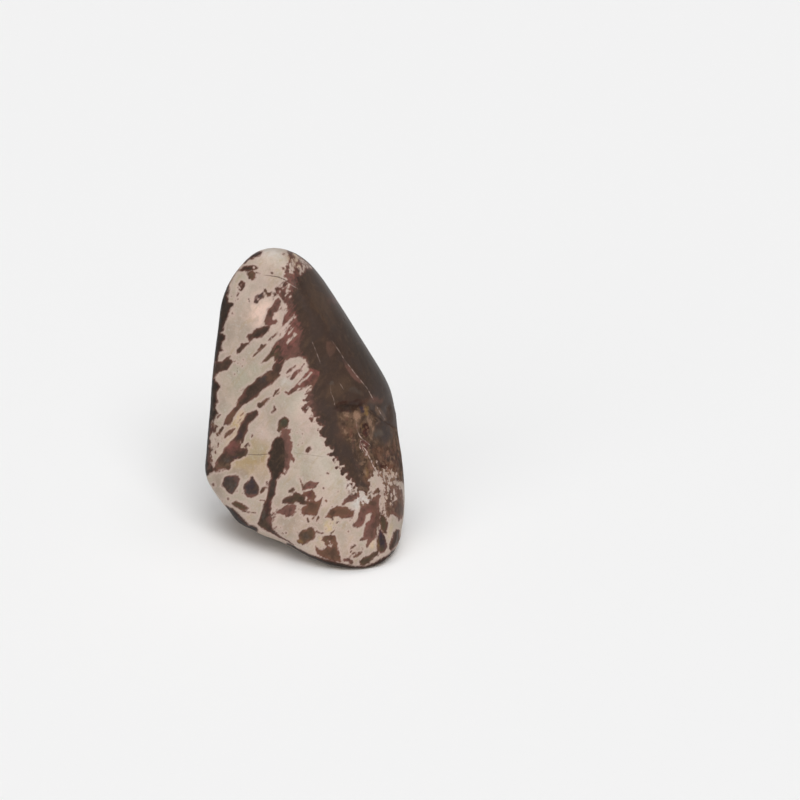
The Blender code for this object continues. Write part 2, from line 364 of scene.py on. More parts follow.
        (360.4, 442), (364, 439.8), (368, 442), (369.2, 446.4), (366.5, 450.5), (362, 449.5),
    ]),
    "brown below the swell": ("rust brown", [
        (372, 449), (378, 446.5), (386, 447.5), (394, 450), (400, 458), (399, 470), (391, 471),
        (384, 468), (379, 461), (374.5, 456),
    ]),
    "brown pit": ("dark rust", [
        (380.5, 463), (384, 461.8), (387, 465), (386.2, 469.6), (382.4, 470), (380, 467),
    ]),
    "smear over the blade": ("olive", [
        (380.6, 515), (383.5, 513.5), (386, 517), (387.6, 522), (387.3, 529), (386.5, 535),
        (383, 533), (380, 528.5), (379.2, 521),
    ]),
    "wing left of the dark side": ("rose", [
        (309, 368.5), (315, 369.5), (319.5, 371.5), (318.5, 376), (316, 381), (313.5, 385.5),
        (309.1, 385), (302.8, 387.4), (293.8, 389.9), (290, 394.4), (286, 395), (290, 391.2),
        (296.4, 384.2), (302.8, 377.2), (307.9, 371.5),
    ]),
}

# Brush strokes and specks on the seen side, in photo pixels, as (paint, (x, y, half width) ...).
STROKES = [
    ("umber", (239.3, 285.2, 0.9), (241.3, 281.6, 1.5), (243.6, 283.3, 1.6), (242.8, 286.5, 2.1),
     (240.8, 289, 2.3), (238.4, 287.6, 1.0)),
    ("umber", (238.6, 293, 0.9), (237.2, 296, 0.8)),
    ("umber", (253.5, 258.5, 0.7), (251, 259.3, 0.5)),
    ("umber", (256, 272.3, 0.7), (260.3, 273.7, 0.4)),
    ("umber", (276.2, 289, 1.4), (279, 287.5, 1.6), (284.5, 284, 2.2)),
    ("umber", (275.2, 293, 0.8), (272.5, 299.5, 0.5)),
    ("umber", (277.5, 332.8, 0.8), (275, 335, 1.6), (272.5, 337.3, 1.0)),
    ("umber", (270.5, 339, 0.7), (269.2, 340.6, 0.9)),
    ("plum", (288, 323.8, 0.5), (283.5, 330, 1.1), (280, 335, 0.8)),
    ("umber", (232.5, 313.6, 0.9), (232.9, 313.9, 0.8)),
    ("umber", (283.4, 254.2, 0.8), (283.8, 254.4, 0.7)),
    ("umber", (281.8, 267, 1.0), (284, 269, 0.9)),
    ("bark", (271.6, 273, 0.7), (272, 273.3, 0.6)),
    ("bark", (266.3, 344.5, 0.9), (262.5, 348, 0.9), (258, 352, 0.8), (253.3, 356.5, 0.8)),
    ("bark", (261.8, 345, 0.8), (260.8, 348, 1.3), (257.8, 350.2, 0.8)),
    ("umber", (220.5, 414.8, 0.6), (217, 417.5, 1.2), (213.5, 420.5, 1.0)),
    ("bark", (279, 389, 0.7), (275.8, 391.5, 1.2), (273.5, 395.5, 0.7)),
    ("bark", (279.5, 392.3, 0.5), (276.8, 394.2, 0.6)),
    ("umber", (274, 406, 0.5), (275, 409.5, 1.6), (272.2, 412.3, 1.0)),
    ("plum", (295.3, 365.5, 0.6), (290.5, 370, 1.3), (286.5, 372.8, 0.8)),
    ("plum", (298.5, 369.5, 0.6), (295, 373, 1.7), (291, 379, 0.9)),
    ("plum", (290.6, 375.3, 0.6), (287.4, 377.2, 0.5)),
    ("plum", (304, 364, 0.6), (301, 369, 0.9), (296.5, 374, 1.5), (291.5, 379, 0.8)),
    ("plum", (300, 386, 1.6), (293, 390.5, 2.0), (288.5, 393.8, 1.6), (285, 391.8, 0.8)),
    ("bark", (296.5, 391, 0.5), (303, 388.5, 0.9), (309, 385.5, 0.8)),
    ("plum", (312, 395.5, 1.6), (307, 398.4, 1.2), (304.6, 400.8, 0.8)),
    ("plum", (312, 401.5, 1.7), (306.5, 405.2, 1.3), (303, 407.4, 0.7)),
    ("plum", (312.5, 407.6, 1.6), (307.5, 410.2, 1.2), (304, 411.8, 0.8)),
    ("plum", (315, 413, 1.6), (310.2, 418.6, 1.1)),
    ("bark", (306, 391, 0.5), (311, 387.2, 0.8)),
    ("bark", (242.5, 389, 0.7), (241, 391, 0.6)),
    ("ochre", (243.5, 413, 0.7), (240.5, 415.5, 0.9)),
    ("ochre", (241.3, 418.5, 0.9), (238, 422.3, 0.7)),
    ("olive", (222.5, 428, 1.1), (220, 431.5, 1.9), (217.5, 435, 1.3)),
    ("bark", (234.5, 428.8, 1.2), (230.5, 431.5, 2.3), (227, 434.5, 2.0), (224.5, 437.5, 1.3)),
    ("umber", (252.3, 434.8, 0.7), (251.4, 436.6, 0.8)),
    ("umber", (249.4, 445.6, 1.1), (249.9, 446.2, 0.9)),
    ("umber", (248.3, 443.3, 0.6), (245, 446.5, 0.9)),
    ("slate", (266.9, 481.5, 0.9), (267.3, 484.5, 1.1)),
    ("bark", (266, 487, 1.0), (263, 489.5, 1.8), (261, 492.3, 1.2)),
    ("bark", (259.8, 500.5, 0.6), (262.5, 500.3, 1.1), (265.5, 500.8, 0.5)),
    ("umber", (213.1, 484.5, 1.2), (213.8, 485.2, 1.0)),
    ("umber", (228.1, 498.9, 1.2), (228.6, 499.6, 1.0)),
    ("olive", (243, 511, 0.8), (249, 512.3, 0.9), (255.5, 512.6, 0.6)),
    ("olive", (289.8, 491.5, 1.7), (292.8, 489.3, 1.8)),
    ("bark", (300, 479, 0.5), (301.5, 483, 0.8), (303, 487, 1.2)),
    ("umber", (307.5, 451, 2.2), (309.3, 448.3, 2.2)),
    ("soot", (327.7, 473.3, 0.9), (328, 473.6, 0.9)),
    ("plum", (274.6, 512.5, 0.7), (271.5, 515.7, 0.7)),
    ("umber", (323.2, 488.3, 0.7), (323.6, 488.5, 0.6)),
    ("clay", (326, 500.6, 1.2), (326.6, 501.4, 1.1)),
    ("plum", (316.5, 531.5, 0.5), (320.5, 533, 0.9), (323.5, 532.8, 0.6)),
    ("umber", (387.3, 523.5, 0.9), (386.8, 528, 0.9), (385.6, 533, 0.8)),
    ("olive", (378.2, 538, 0.8), (377.6, 544, 1.5), (378.4, 550, 1.8), (377.4, 554.5, 1.4)),
    ("bark", (374, 493.5, 1.8), (378, 490, 2.4)),
    ("plum", (344.8, 560.4, 1.7), (348.2, 559.6, 2.2), (351, 562, 2.2)),
    ("bark", (353.8, 557, 1.1), (356.8, 555.6, 1.6), (360.4, 553.4, 0.9)),
    ("olive", (352.6, 546.8, 1.5), (351.2, 548.4, 1.6)),
    ("olive", (351.4, 551, 1.0), (350.6, 552.2, 1.0)),
    ("olive", (352.4, 553.6, 1.1), (354.8, 553, 1.1)),
    ("umber", (358.4, 553, 0.8), (361.6, 551.8, 1.0)),
    ("olive", (351.2, 555.4, 0.8), (349.8, 556.8, 1.0)),
    ("umber", (354.4, 545, 0.7), (355.4, 545.5, 0.8)),
    ("umber", (362.4, 548.6, 0.9), (362.7, 548.8, 0.8)),
    ("bark", (307.2, 517.8, 0.6), (308.2, 521.4, 0.7)),
    ("bark", (313.8, 517.6, 0.7), (312.4, 519, 0.7)),
    ("bark", (318.6, 517.2, 1.0), (317.4, 519, 0.9), (316.6, 521.4, 0.6)),
]

# Sprays of specks on the seen side: (paint, x, y, radius across, radius down, turn in degrees,
# how many, largest half width), and in BARE_SPRAYS the same for pale specks.
SPRAYS = [
    ("plum", 273, 517, 3.5, 9, -10, 20, 0.9), ("plum", 276, 512, 3, 3, 0, 6, 0.6),
    ("umber", 352.5, 487.5, 6, 6, -40, 22, 0.8), ("bark", 372, 497, 5, 7, 20, 12, 0.8),
    ("plum", 212, 429, 3, 9, 8, 22, 1.6), ("plum", 210, 456, 3.5, 14, -6, 26, 1.3),
    ("umber", 221, 440, 5, 12, 30, 12, 0.7), ("plum", 217, 464, 3, 5, 0, 12, 1.0), ("bark", 224, 468, 8, 4, -10, 14, 0.8),
    ("bark", 389, 477, 8, 6, 0, 20, 1.0), ("bark", 383, 512, 3, 9, 0, 14, 0.8),
    ("bark", 362, 503, 5, 3, -40, 8, 0.6), ("olive", 333, 526, 4, 7, 0, 9, 0.6),
    ("plum", 284, 290, 9, 4, -30, 12, 0.7), ("umber", 270, 293, 8, 5, 0, 6, 0.6),
    ("plum", 281, 307, 5, 10, 10, 12, 0.6), ("plum", 297, 369, 8, 8, -35, 12, 0.5),
    ("umber", 246, 300, 16, 12, 0, 5, 0.4), ("bark", 240, 366, 16, 10, -30, 8, 0.35),
    ("bark", 300, 440, 16, 30, 0, 9, 0.35), ("bark", 330, 520, 40, 30, 0, 16, 0.4),
    ("bark", 290, 535, 22, 10, 25, 12, 0.4), ("bark", 236, 495, 16, 12, 0, 10, 0.4),
    ("olive", 350, 520, 14, 7, 0, 12, 0.5), ("plum", 302, 511, 5, 4, 0, 6, 0.5),
]
BARE_SPRAYS = [
    (350, 484.5, 6, 6, -40, 18, 0.9), (366, 492, 4, 2.4, -20, 6, 0.7),
    (376, 478, 4, 8, -20, 8, 0.8), (390, 474, 8, 5, 0, 16, 1.0), (369, 494, 5, 4, 0, 8, 0.8),
    (363, 499, 6, 5, -40, 12, 0.9), (382, 506, 2.4, 9, 0, 8, 0.7), (331, 541, 5, 7, 0, 5, 0.5), (300, 262, 8, 6, 30, 10, 0.5),
    (284, 292, 6, 8, 10, 9, 0.5), (300, 378, 8, 5, -35, 10, 0.5), (316, 425, 4, 14, -20, 6, 0.5),
    (308, 500, 6, 5, 0, 5, 0.5), (213, 440, 3, 24, 0, 8, 0.6),
    (390, 476, 7, 4, 0, 8, 0.8), (378, 468, 3, 8, -30, 6, 0.6), (393, 500, 6, 10, 0, 6, 0.6), (366, 448, 3, 9, -15, 5, 0.6),
]
SPRAY_SEED = 5

# Where the pale ground shows through the marks, in the same form but with no paint.
BARE_STREAKS = [
    ((253.9, 267.3, 0.8), (254.2, 267.6, 0.6)),
    ((239.4, 287.7, 0.7), (239.7, 288, 0.6)),
    ((257.6, 299, 0.9), (258, 298.4, 0.7)),
    ((290, 264, 0.4), (290.5, 268, 0.6), (290.2, 272.6, 0.5)),
    ((292.4, 260, 0.4), (292.9, 266, 0.7), (292.4, 272.5, 0.4)),
    ((294.3, 253.6, 0.7), (296.8, 257, 1.2), (296.6, 260.8, 0.8)),
    ((299.9, 267, 0.4), (300.7, 270.5, 0.6), (300.4, 274, 0.4)),
    ((304.1, 264.4, 0.4), (303.6, 268, 0.6), (303.1, 271.4, 0.4)),
    ((302.4, 260.5, 0.6), (302.9, 261.9, 0.7)),
    ((307, 265.2, 0.5), (308, 267, 0.4)),
    ((310.3, 266.4, 0.5), (311.2, 267.8, 0.5)),
    ((288.8, 284.5, 0.5), (286.9, 291.6, 0.7)),
    ((294.4, 315.8, 0.4), (288.5, 322.6, 1.0), (283.5, 328.5, 1.4), (279.5, 331.5, 1.4)),
    ((286.5, 309.5, 0.6), (284.8, 313, 0.8), (282.5, 315.5, 0.7)),
    ((289.5, 325.8, 0.4), (285.5, 329.6, 0.9), (281.5, 336.5, 1.1), (276.5, 339.8, 1.2)),
    ((295.4, 334.2, 0.8), (291, 339, 0.5), (287, 343.2, 0.6)),
    ((292.8, 328.5, 0.4), (289, 333, 0.7)),
    ((304.8, 360.4, 0.6), (307, 366, 0.9), (303.8, 373, 1.0), (297, 381.5, 0.8)),
    ((305, 393, 0.3), (310, 389.5, 0.5)),
    ((303, 405, 0.3), (307, 402.5, 0.5)),
    ((300.5, 372.3, 0.3), (303.5, 368, 0.5)),
    ((240.5, 442, 0.3), (242.3, 446.5, 0.8)),
    ((224, 446, 0.3), (221.5, 452, 0.7)),
    ((285, 469.5, 0.4), (284.6, 473, 0.7)),
    ((311.5, 372.5, 0.4), (306, 378.3, 0.8), (299, 384, 0.6)),
    ((388.5, 487.5, 0.6), (388.3, 492.5, 0.9), (386, 498, 0.5)),
    ((395.5, 494, 0.7), (396, 499, 0.9)), ((383.6, 499, 0.7), (384.4, 505, 1.2), (385, 511, 0.8)),
    ((371.5, 461, 0.3), (374, 467, 0.9), (377.4, 473.4, 1.6), (379.5, 481, 1.9),
     (380.5, 489, 1.4)),
    ((361, 493.8, 0.6), (365.6, 497, 1.5), (362, 503, 1.3), (358.5, 509, 0.8)),
    ((388.3, 476, 1.0), (392, 473, 0.9), (395, 477, 1.2)),
]

# Patches of another hue inside the marks, and then on the ground, in photo pixels:
# (paint, x, y, radius across, radius down, turn in degrees, strength). A few are painted shade or a painted sheen,
# as noted at them.
HUES_IN_THE_MARKS = [
    ("rose", 292, 331, 8, 20, -12, 0.7), ("rose", 287, 348, 8, 7, 0, 0.5),
    ("rose", 309, 378, 6, 4, -30, 0.8), ("plum", 312, 400, 7, 26, -25, 0.5),
    ("bark", 293, 256, 4, 7, 20, 0.7), ("slate", 288.5, 251.5, 3, 2, 0, 0.8),
    ("soot", 255, 336, 7.5, 3.4, -25, 0.9), ("rose", 249.5, 341, 2.2, 1.6, 0, 0.9),
    ("soot", 251, 390, 9, 6, -35, 0.8), ("slate", 263.5, 379, 4, 3, 0, 0.8),
    ("rust brown", 272, 377, 7, 6, -30, 0.8), ("rose", 244, 396, 3, 7, 30, 0.7),
    ("rust brown", 230, 417, 6, 8, 30, 0.9), ("bark", 237, 404, 3, 4, 30, 0.7),
    ("rose", 232, 448, 8, 7, -30, 0.85), ("olive", 241, 455, 6, 2.5, -15, 0.9),
    ("pewter", 226, 459, 5, 2.6, 0, 0.8), ("indigo", 236, 456.5, 2.4, 1.6, 0, 0.7),
    ("bark", 222, 466, 8, 4, 0, 0.8), ("indigo", 240, 434, 4, 6, 20, 0.5),
    ("indigo", 252, 487, 4, 8, 0, 0.7), ("plum", 251, 496, 7, 2.6, 0, 0.9),
    ("pewter", 231.5, 485, 4, 5, 20, 0.7), ("plum", 236, 479, 3, 4, 0, 0.5), ("soot", 271, 312, 2.6, 3.4, 0, 0.6),
    ("rose", 268.5, 321, 4.5, 4, 0, 0.5), ("moss", 284.2, 423, 3.4, 4.4, 15, 0.95),
    ("brick", 288, 460, 4, 14, 0, 0.5), ("pewter", 264.5, 513, 3.4, 7, 12, 0.7),
    ("wine", 269.5, 506, 2.4, 8, 6, 0.5), ("plum", 270.5, 521, 2.6, 6, 0, 0.8),
    ("olive", 264, 525, 5, 4, 0, 0.6), ("slate", 272, 486, 4, 10, 0, 0.5),
    ("olive", 297.5, 497.5, 6, 3.5, -25, 0.8), ("rose", 307.5, 487.5, 3.4, 2.2, 0, 0.6),
    ("wine", 309, 495.5, 4, 3.6, 0, 0.8), ("rose", 306.5, 500.6, 1.4, 1.6, 0, 0.9),
    ("umber", 312, 505, 7, 5, 0, 0.4), ("pewter", 305.5, 536, 3.5, 3, 0, 0.6),
    ("ochre", 299.5, 542, 4.5, 2.6, 15, 0.9), ("olive", 326.5, 541, 4, 5, 0, 0.7),
    ("umber", 334, 550, 5, 5, 0, 0.5), ("umber", 336, 511, 1.6, 1.4, 0, 0.7), ("rose", 349, 514, 5, 3, 0, 0.5),
    ("rust brown", 374.5, 513, 4, 9, 0, 0.7), ("rust brown", 376, 500, 4, 5, 0, 0.4),
    ("umber", 399.5, 508, 4, 7, 0, 0.7), ("bark", 392, 493, 5, 7, 0, 0.5),
    ("olive", 382.5, 550, 3.4, 5, 0, 0.8), ("ochre", 376.6, 546, 1.6, 5, 0, 0.6),
    ("slate", 235, 518, 6, 5, 40, 0.6), ("wine", 245, 523.5, 3, 2, 0, 0.6),
    # These two darken the upper left edge, partly as painted shade.
    ("soot", 219, 318, 5, 40, 6, 0.5), ("slate", 226, 306, 4, 8, 0, 0.3),
    # The two "slate" ovals on the far right facet are a painted bluish sheen.
    ("slate", 380, 350, 14, 50, -25, 0.35), ("slate", 385, 385, 12, 20, -15, 0.5),
    ("pewter", 316.3, 317, 2, 2, 0, 0.4), ("pewter", 326.5, 316, 1.6, 3, 0, 0.4),
    ("pewter", 313.2, 286, 1.8, 1.4, 0, 0.7), ("pewter", 321, 288.5, 6, 1.0, 25, 0.5),
    ("pewter", 348, 335.6, 1.6, 1.2, 0, 0.9), ("pewter", 308.2, 363.8, 1.6, 3.6, 0, 0.8),
    ("pewter", 330.8, 384.8, 3.2, 2.4, 0, 0.7), ("bark", 334, 392, 9, 8, -20, 0.6),
    # The "rust" ovals here and on the next line darken the groove under the ledge, partly as painted shade of the
    # recess.
    ("rose", 334, 302.4, 3, 3, 0, 0.3), ("rust", 347, 407.5, 13, 4.2, 0, 0.95),
    ("rust", 383, 404, 11, 5, 0, 0.7), 
    ("ochre", 363.3, 425.8, 1.6, 3, 0, 0.7), ("rust brown", 372, 401, 12, 4, -5, 0.6),
    ("slate", 385, 432, 9, 13, 0, 0.95), ("pewter", 378, 433.4, 4.4, 4.8, 0, 1.0),
    ("clay", 358, 421, 5, 8, -20, 0.5), ("bark", 344, 384, 10, 9, 0, 0.5),
    ("rust brown", 343, 432, 9, 12, -25, 0.7), ("pewter", 388, 458, 5, 4, 0, 0.5),
    ("clay", 386, 474, 12, 5, 0, 0.8), ("clay", 370, 458, 3, 12, -22, 0.5),
    # The "soot" oval on the right flank here is painted shade.
    ("bark", 318, 302, 12, 28, -25, 0.5), ("soot", 364, 350, 12, 55, -27, 0.9),
    ("brick", 392, 489, 8, 6, 0, 0.7), ("clay", 345, 432, 4, 3, 30, 0.5),
    ("rose", 367, 516, 9, 12, 20, 0.6), ("plum", 360, 514, 6, 9, 30, 0.6),
    ("ochre", 347.4, 441.1, 2.2, 2, 0, 0.9), ("dark rust", 350, 436, 3, 4, 0, 0.4),
    ("clay", 384, 455, 3, 2, 30, 0.6), ("clay", 379, 462, 3, 3, 0, 0.6),
    ("dark rust", 391, 459, 4, 3, 0, 0.4), ("dark rust", 372, 447, 3, 5, 0, 0.5),
    ("russet", 376, 399, 6, 3, 10, 0.6), ("pewter", 356, 391, 7, 3, 10, 0.5),
    ("clay", 390, 478, 7, 8, 0, 0.7), ("clay", 347.4, 441.1, 1.8, 1.6, 0, 0.9),
    ("rust brown", 368, 478, 4, 9, 0, 0.9), ("ochre", 367, 472, 2.4, 5, 0, 0.6),
    ("umber shade", 326, 420, 8, 40, -18, 0.7), ("umber shade", 300, 288, 9, 22, 0, 0.6),
    ("plum", 332, 300, 5, 6, 0, 0.35), ("umber shade", 336, 455, 8, 26, -22, 0.5),
    ("umber", 354, 470, 8, 14, -25, 0.7), ("slate", 362, 486, 8, 6, 0, 0.4),
    ("soot", 380, 422, 7, 6, 0, 0.6), ("umber", 372, 448, 4, 8, 0, 0.5),
    # Both "black" ovals are painted shade: one on the right flank, one along the left edge.
    ("black", 372, 352, 10, 50, -27, 0.25), ("black", 214, 405, 5, 50, 3, 0.3),
    ("ochre", 374.5, 549, 1.6, 4, 0, 0.6), ("wine", 309, 492, 3, 3, 0, 0.5),
    ("umber", 389, 500, 4, 12, 0, 0.4), ("russet", 395, 510, 5, 9, 0, 0.4),
]
# The "shade" ovals on the ground are painted shade, darkening the cream towards the left edge and the lower left;
# the two large "dull cream" ovals at the bottom make it darker towards the bottom.
HUES_ON_THE_GROUND = [
    ("bright cream", 272, 262, 16, 10, 0, 0.5), ("chalk", 270, 252, 16, 6, 0, 0.7),
    ("bright cream", 243, 285, 8, 12, 20, 0.6), ("shade", 230, 388, 12, 14, 0, 0.5), ("pink cream", 268, 285, 16, 12, 0, 0.5),
    ("bright peach", 262, 312, 18, 20, 0, 1.0), ("green cream", 238, 276, 9, 8, 0, 0.5),
    ("dull cream", 240, 328, 16, 22, 0, 0.5), ("shade", 226, 340, 8, 24, 0, 0.4),
    ("pink cream", 286, 330, 8, 18, 0, 0.8), ("green cream", 232, 385, 16, 20, 0, 0.6),
    ("dull cream", 240, 365, 16, 12, 0, 0.4), ("shade", 222, 395, 8, 18, 0, 0.35),
    ("pink cream", 296, 368, 14, 9, -35, 0.9), ("chalk", 287, 382, 7, 5, -35, 0.6),
    ("bright cream", 302, 403, 18, 12, -20, 0.9), ("pink cream", 262, 432, 9, 14, 0, 0.7),
    ("dull cream", 270, 415, 14, 10, 0, 0.4), ("bright peach", 301, 410, 10, 12, 0, 0.35),
    ("sand", 238, 424, 8, 17, 40, 0.8),
    ("honey", 234, 440, 5, 9, 35, 0.6), ("sand", 250, 458, 30, 20, 0, 0.95), ("sand", 262, 470, 14, 10, 0, 0.7),
    ("shade", 262, 474, 8, 8, 0, 0.3), ("dull cream", 236, 495, 14, 9, 0, 0.5),
    ("shade", 219, 482, 8, 14, 0, 0.6), ("pink cream", 254, 505, 12, 7, 0, 0.4),
    ("bright cream", 318, 455, 14, 28, -25, 0.8), ("pink cream", 307, 425, 8, 22, -10, 0.6),
    ("peach", 284, 495, 8, 10, 0, 0.5), ("bright cream", 335, 480, 14, 16, -30, 0.7),
    ("dull cream", 292, 526, 16, 12, 0, 0.6), ("bright cream", 300, 547, 14, 5, 20, 0.6),
    ("honey", 329, 526, 5, 9, 10, 0.95), ("honey", 322, 540, 2.4, 4, 0, 0.8),
    ("dull cream", 344, 530, 12, 12, 0, 0.5), ("chalk", 358, 500, 11, 12, -30, 1.0), ("chalk", 366, 505, 5, 14, 25, 0.8),
    ("honey", 371.2, 542.5, 4, 5, 0, 0.7), ("chalk", 350, 487, 5, 6, 0, 0.9),
    ("pink cream", 378, 482, 6, 14, 0, 0.6), ("green cream", 250, 374, 16, 12, -30, 0.9),
    ("green cream", 300, 470, 12, 20, 0, 0.6), ("dull cream", 300, 517, 40, 22, 15, 0.9),
    ("shade", 238, 474, 12, 7, 0, 0.6), ("sand", 228, 432, 8, 12, 30, 0.6),
    ("honey", 240, 418, 7, 9, 40, 0.6), ("sand", 256, 462, 12, 16, 0, 0.5),
    ("dull cream", 345, 555, 30, 12, -10, 1.0), ("brick", 216, 464, 6, 8, 20, 0.5),
    ("plum", 219, 470, 4, 3, 0, 0.4), ("green cream", 292, 452, 10, 20, 0, 0.5), ("honey", 390, 532, 4, 9, 0, 0.4),
    ("honey", 293.5, 256.5, 5, 6, 30, 0.95), ("honey", 297, 264, 4, 5, 0, 0.8),
    ("chalk", 302.5, 261.3, 3, 3, 0, 0.6), ("chalk", 258, 298.5, 2, 2, 0, 0.9),
    ("dull cream", 224, 432, 8, 14, 0, 0.5), ("chalk", 211, 428, 4, 4, 0, 0.4),
    ("honey", 388, 500, 3, 14, 0, 0.5), ("sand", 392, 470, 8, 8, 0, 0.7),
    ("clay", 364, 425, 22, 26, 0, 0.9), ("clay", 386, 430, 16, 34, 0, 0.9),
    ("clay", 384, 508, 4, 14, 0, 0.4), ("honey", 329.5, 525, 4, 7, 20, 0.55),
    ("honey", 336.5, 521, 1.4, 6, 0, 0.5), ("pink cream", 352, 541, 7, 8, 0, 0.6),
]

# Thin lines, as in STROKES: dark cracks, and pale lines. The pale ones are partly pale veins and worn edges, and
# partly painted highlights where a crack's edge, the lower ridge and a polished chip catch the light.
DARK_CRACKS = [
    ((265.7, 275.3, 0.3), (272, 276.1, 0.5), (279, 277.2, 0.6), (284.2, 279.4, 0.6),
     (290, 283.4, 0.3)),
    ((247, 454.4, 0.25), (258, 454.9, 0.4), (268, 454, 0.3)),
    ((370, 412, 0.5), (376, 416.5, 0.6), (384, 421, 0.6), (393, 427, 0.5)),
    ((296, 453, 0.12), (322, 456.6, 0.18)),
]
PALE_VEINS_AND_GLINTS = [
    # Painted highlight on the lit edge of the arc crack.
    ((279, 278.2, 0.3), (286, 281.6, 0.5), (291, 284.8, 0.5), (295.8, 287.6, 0.5)),
    ((312.3, 342.1, 0.3), (315.5, 349.8, 0.6), (318.1, 356.8, 0.4), (319.9, 361.4, 0.4)),
    ((333.6, 342.8, 0.4), (339.1, 351, 0.5), (344.2, 359.3, 0.5), (350.6, 367.6, 0.6),
     (356.3, 375.3, 0.9), (360.2, 379.7, 0.6), (366.5, 387.4, 0.5), (369.7, 392.5, 0.8),
     (372.3, 397.6, 0.8)),
    ((330.5, 388, 0.6), (331, 393, 0.6), (333.5, 398, 0.4), (334.6, 403.3, 0.7)),
    ((340.5, 384.5, 0.4), (342.5, 387.5, 0.4)),
    ((377, 407, 0.6), (381, 414, 0.8), (386, 420.5, 0.6)),
    # Painted highlights along the lower ridge.
    ((356, 420, 0.4), (357.8, 430, 1.0), (360, 435.5, 1.2), (362.4, 439, 1.2), (365.5, 440.6, 0.9),
     (369.2, 444.5, 0.9)),
    ((361.2, 440.5, 0.9), (360, 446.7, 1.3), (362.4, 451.2, 0.9)),
    ((364.5, 448, 1.6), (367.8, 452, 1.4), (370, 458.5, 1.2), (372, 463, 1.8), (375.5, 469.5, 1.6)),
    ((259.6, 447, 0.3), (260.4, 458, 0.5), (260.6, 473, 0.3)),
    # Painted reflection on a polished chip.
    ((230.3, 397.5, 0.4), (230.8, 401.5, 0.5), (233.2, 406.5, 0.4)),
]

# The grain of the stone: every brush stroke on the unseen sides runs along it.
GRAIN = Vector((-0.57, 0.165, -0.81)).normalized()

# Edges are halved in passes, each with its own longest length. Those on the sides that the photo
# doesn't show stay this long.
PASS_EDGES = (1.6, 1.1, 0.8, 0.6, 0.44, 0.34)
UNSEEN_EDGE = 0.8
EVEN_ROUNDS = 6

# The ledge of the solid runs out to the right in this oval of the photo, as (x, y, across, down).
LEVELLED = (384, 404, 16, 15)
LEVELLING_ROUNDS = 70
FOOT_SKIN = 0.02 * MM


def linear(paint):
    """A paint's colour in linear light."""
    shade = np.array(PAINTS[paint]) / 255
    return np.where(shade <= 0.04045, shade / 12.92, ((shade + 0.055) / 1.055) ** 2.4)


def smooth_step(low, high, value):
    share = np.clip((value - low) / (high - low), 0, 1)
    return share * share * (3 - 2 * share)


# The fine mesh


def facing_camera(points, normals):
    """The cosine between each normal and the way to the camera."""
    away = np.array(CAMERA_PLACE) - points
    away /= np.linalg.norm(away, axis=1)[:, None]
    return (normals * away).sum(1)


def positions(body):
    return np.array([vert.co for vert in body.verts])


def bulge(a, b):
    """How far the surface between two points stands off their chord, going by their normals."""
    if min(a.co.z, b.co.z) < FOOT_SKIN:
        return Vector()
    run = b.co - a.co
    return (run.dot(b.normal) * b.normal - run.dot(a.normal) * a.normal) / 8


def split_long_edges(body, longest):
    """Halves every edge over the longest length, which is in millimetres, and lifts the new
    points off the flat facets."""
    long, lifts = [], {}
    for edge in body.edges:
        a, b = edge.verts
        seen = (a.normal + b.normal).dot(CAMERA_PLACE - a.co) > 0
        if edge.calc_length() > (longest if seen else max(longest, UNSEEN_EDGE)) * MM:
            long.append(edge)
            lifts[((a.co + b.co) / 2).to_tuple(8)] = bulge(a, b)
    first_new = len(body.verts)
    bmesh.ops.subdivide_edges(body, edges=long, cuts=1)
    body.verts.ensure_lookup_table()
    for vert in body.verts[first_new:]:
        vert.co += lifts.get(vert.co.to_tuple(8), Vector())
    bmesh.ops.triangulate(body, faces=[face for face in body.faces if len(face.verts) > 3])
    body.normal_update()


def even_out(body):
    """Takes the last facets off without shrinking the stone: draws every point to the middle of
    its neighbours and then pushes it nearly as far back. The foot stays flat."""
    body.verts.index_update()
    links = np.array([[vert.index for vert in edge.verts] for edge in body.edges])
    points = positions(body)
    foot = points[:, 2] < FOOT_SKIN
    first, second = links[:, 0], links[:, 1]
    count = np.bincount(links.ravel(), minlength=len(points)).astype(float)

    def drawn(points, share):
        middle = np.stack([
            np.bincount(first, points[second, axis], len(points))
            + np.bincount(second, points[first, axis], len(points))
            for axis in range(3)
        ], 1) / count[:, None]
        return points + share * (middle - points)

    for share in (0.5, -0.52) * EVEN_ROUNDS:
        points = drawn(points, share)
    x, y, across, down = LEVELLED
    ring = np.hypot((photo_pixels(points)[:, 0] - x) / across, (photo_pixels(points)[:, 1] - y) / down)
    share = 0.6 * (1 - smooth_step(0.6, 1.0, ring))[:, None]
    for _ in range(LEVELLING_ROUNDS):
        points = drawn(points, share)
    points[foot, 2] = 0
    for vert, point in zip(body.verts, points):
        vert.co = point


def fine_mesh(node):
    """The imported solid's surface with its facets split and rounded off."""
    body = bmesh.new()
    body.from_mesh(node.data)
    bmesh.ops.remove_doubles(body, verts=body.verts, dist=0.001 * MM)
    bmesh.ops.triangulate(body, faces=body.faces)
    body.normal_update()
    for longest in PASS_EDGES:
        split_long_edges(body, longest)
    even_out(body)
    mesh = bpy.data.meshes.new("stone")
    body.to_mesh(mesh)
    body.free()
    return mesh


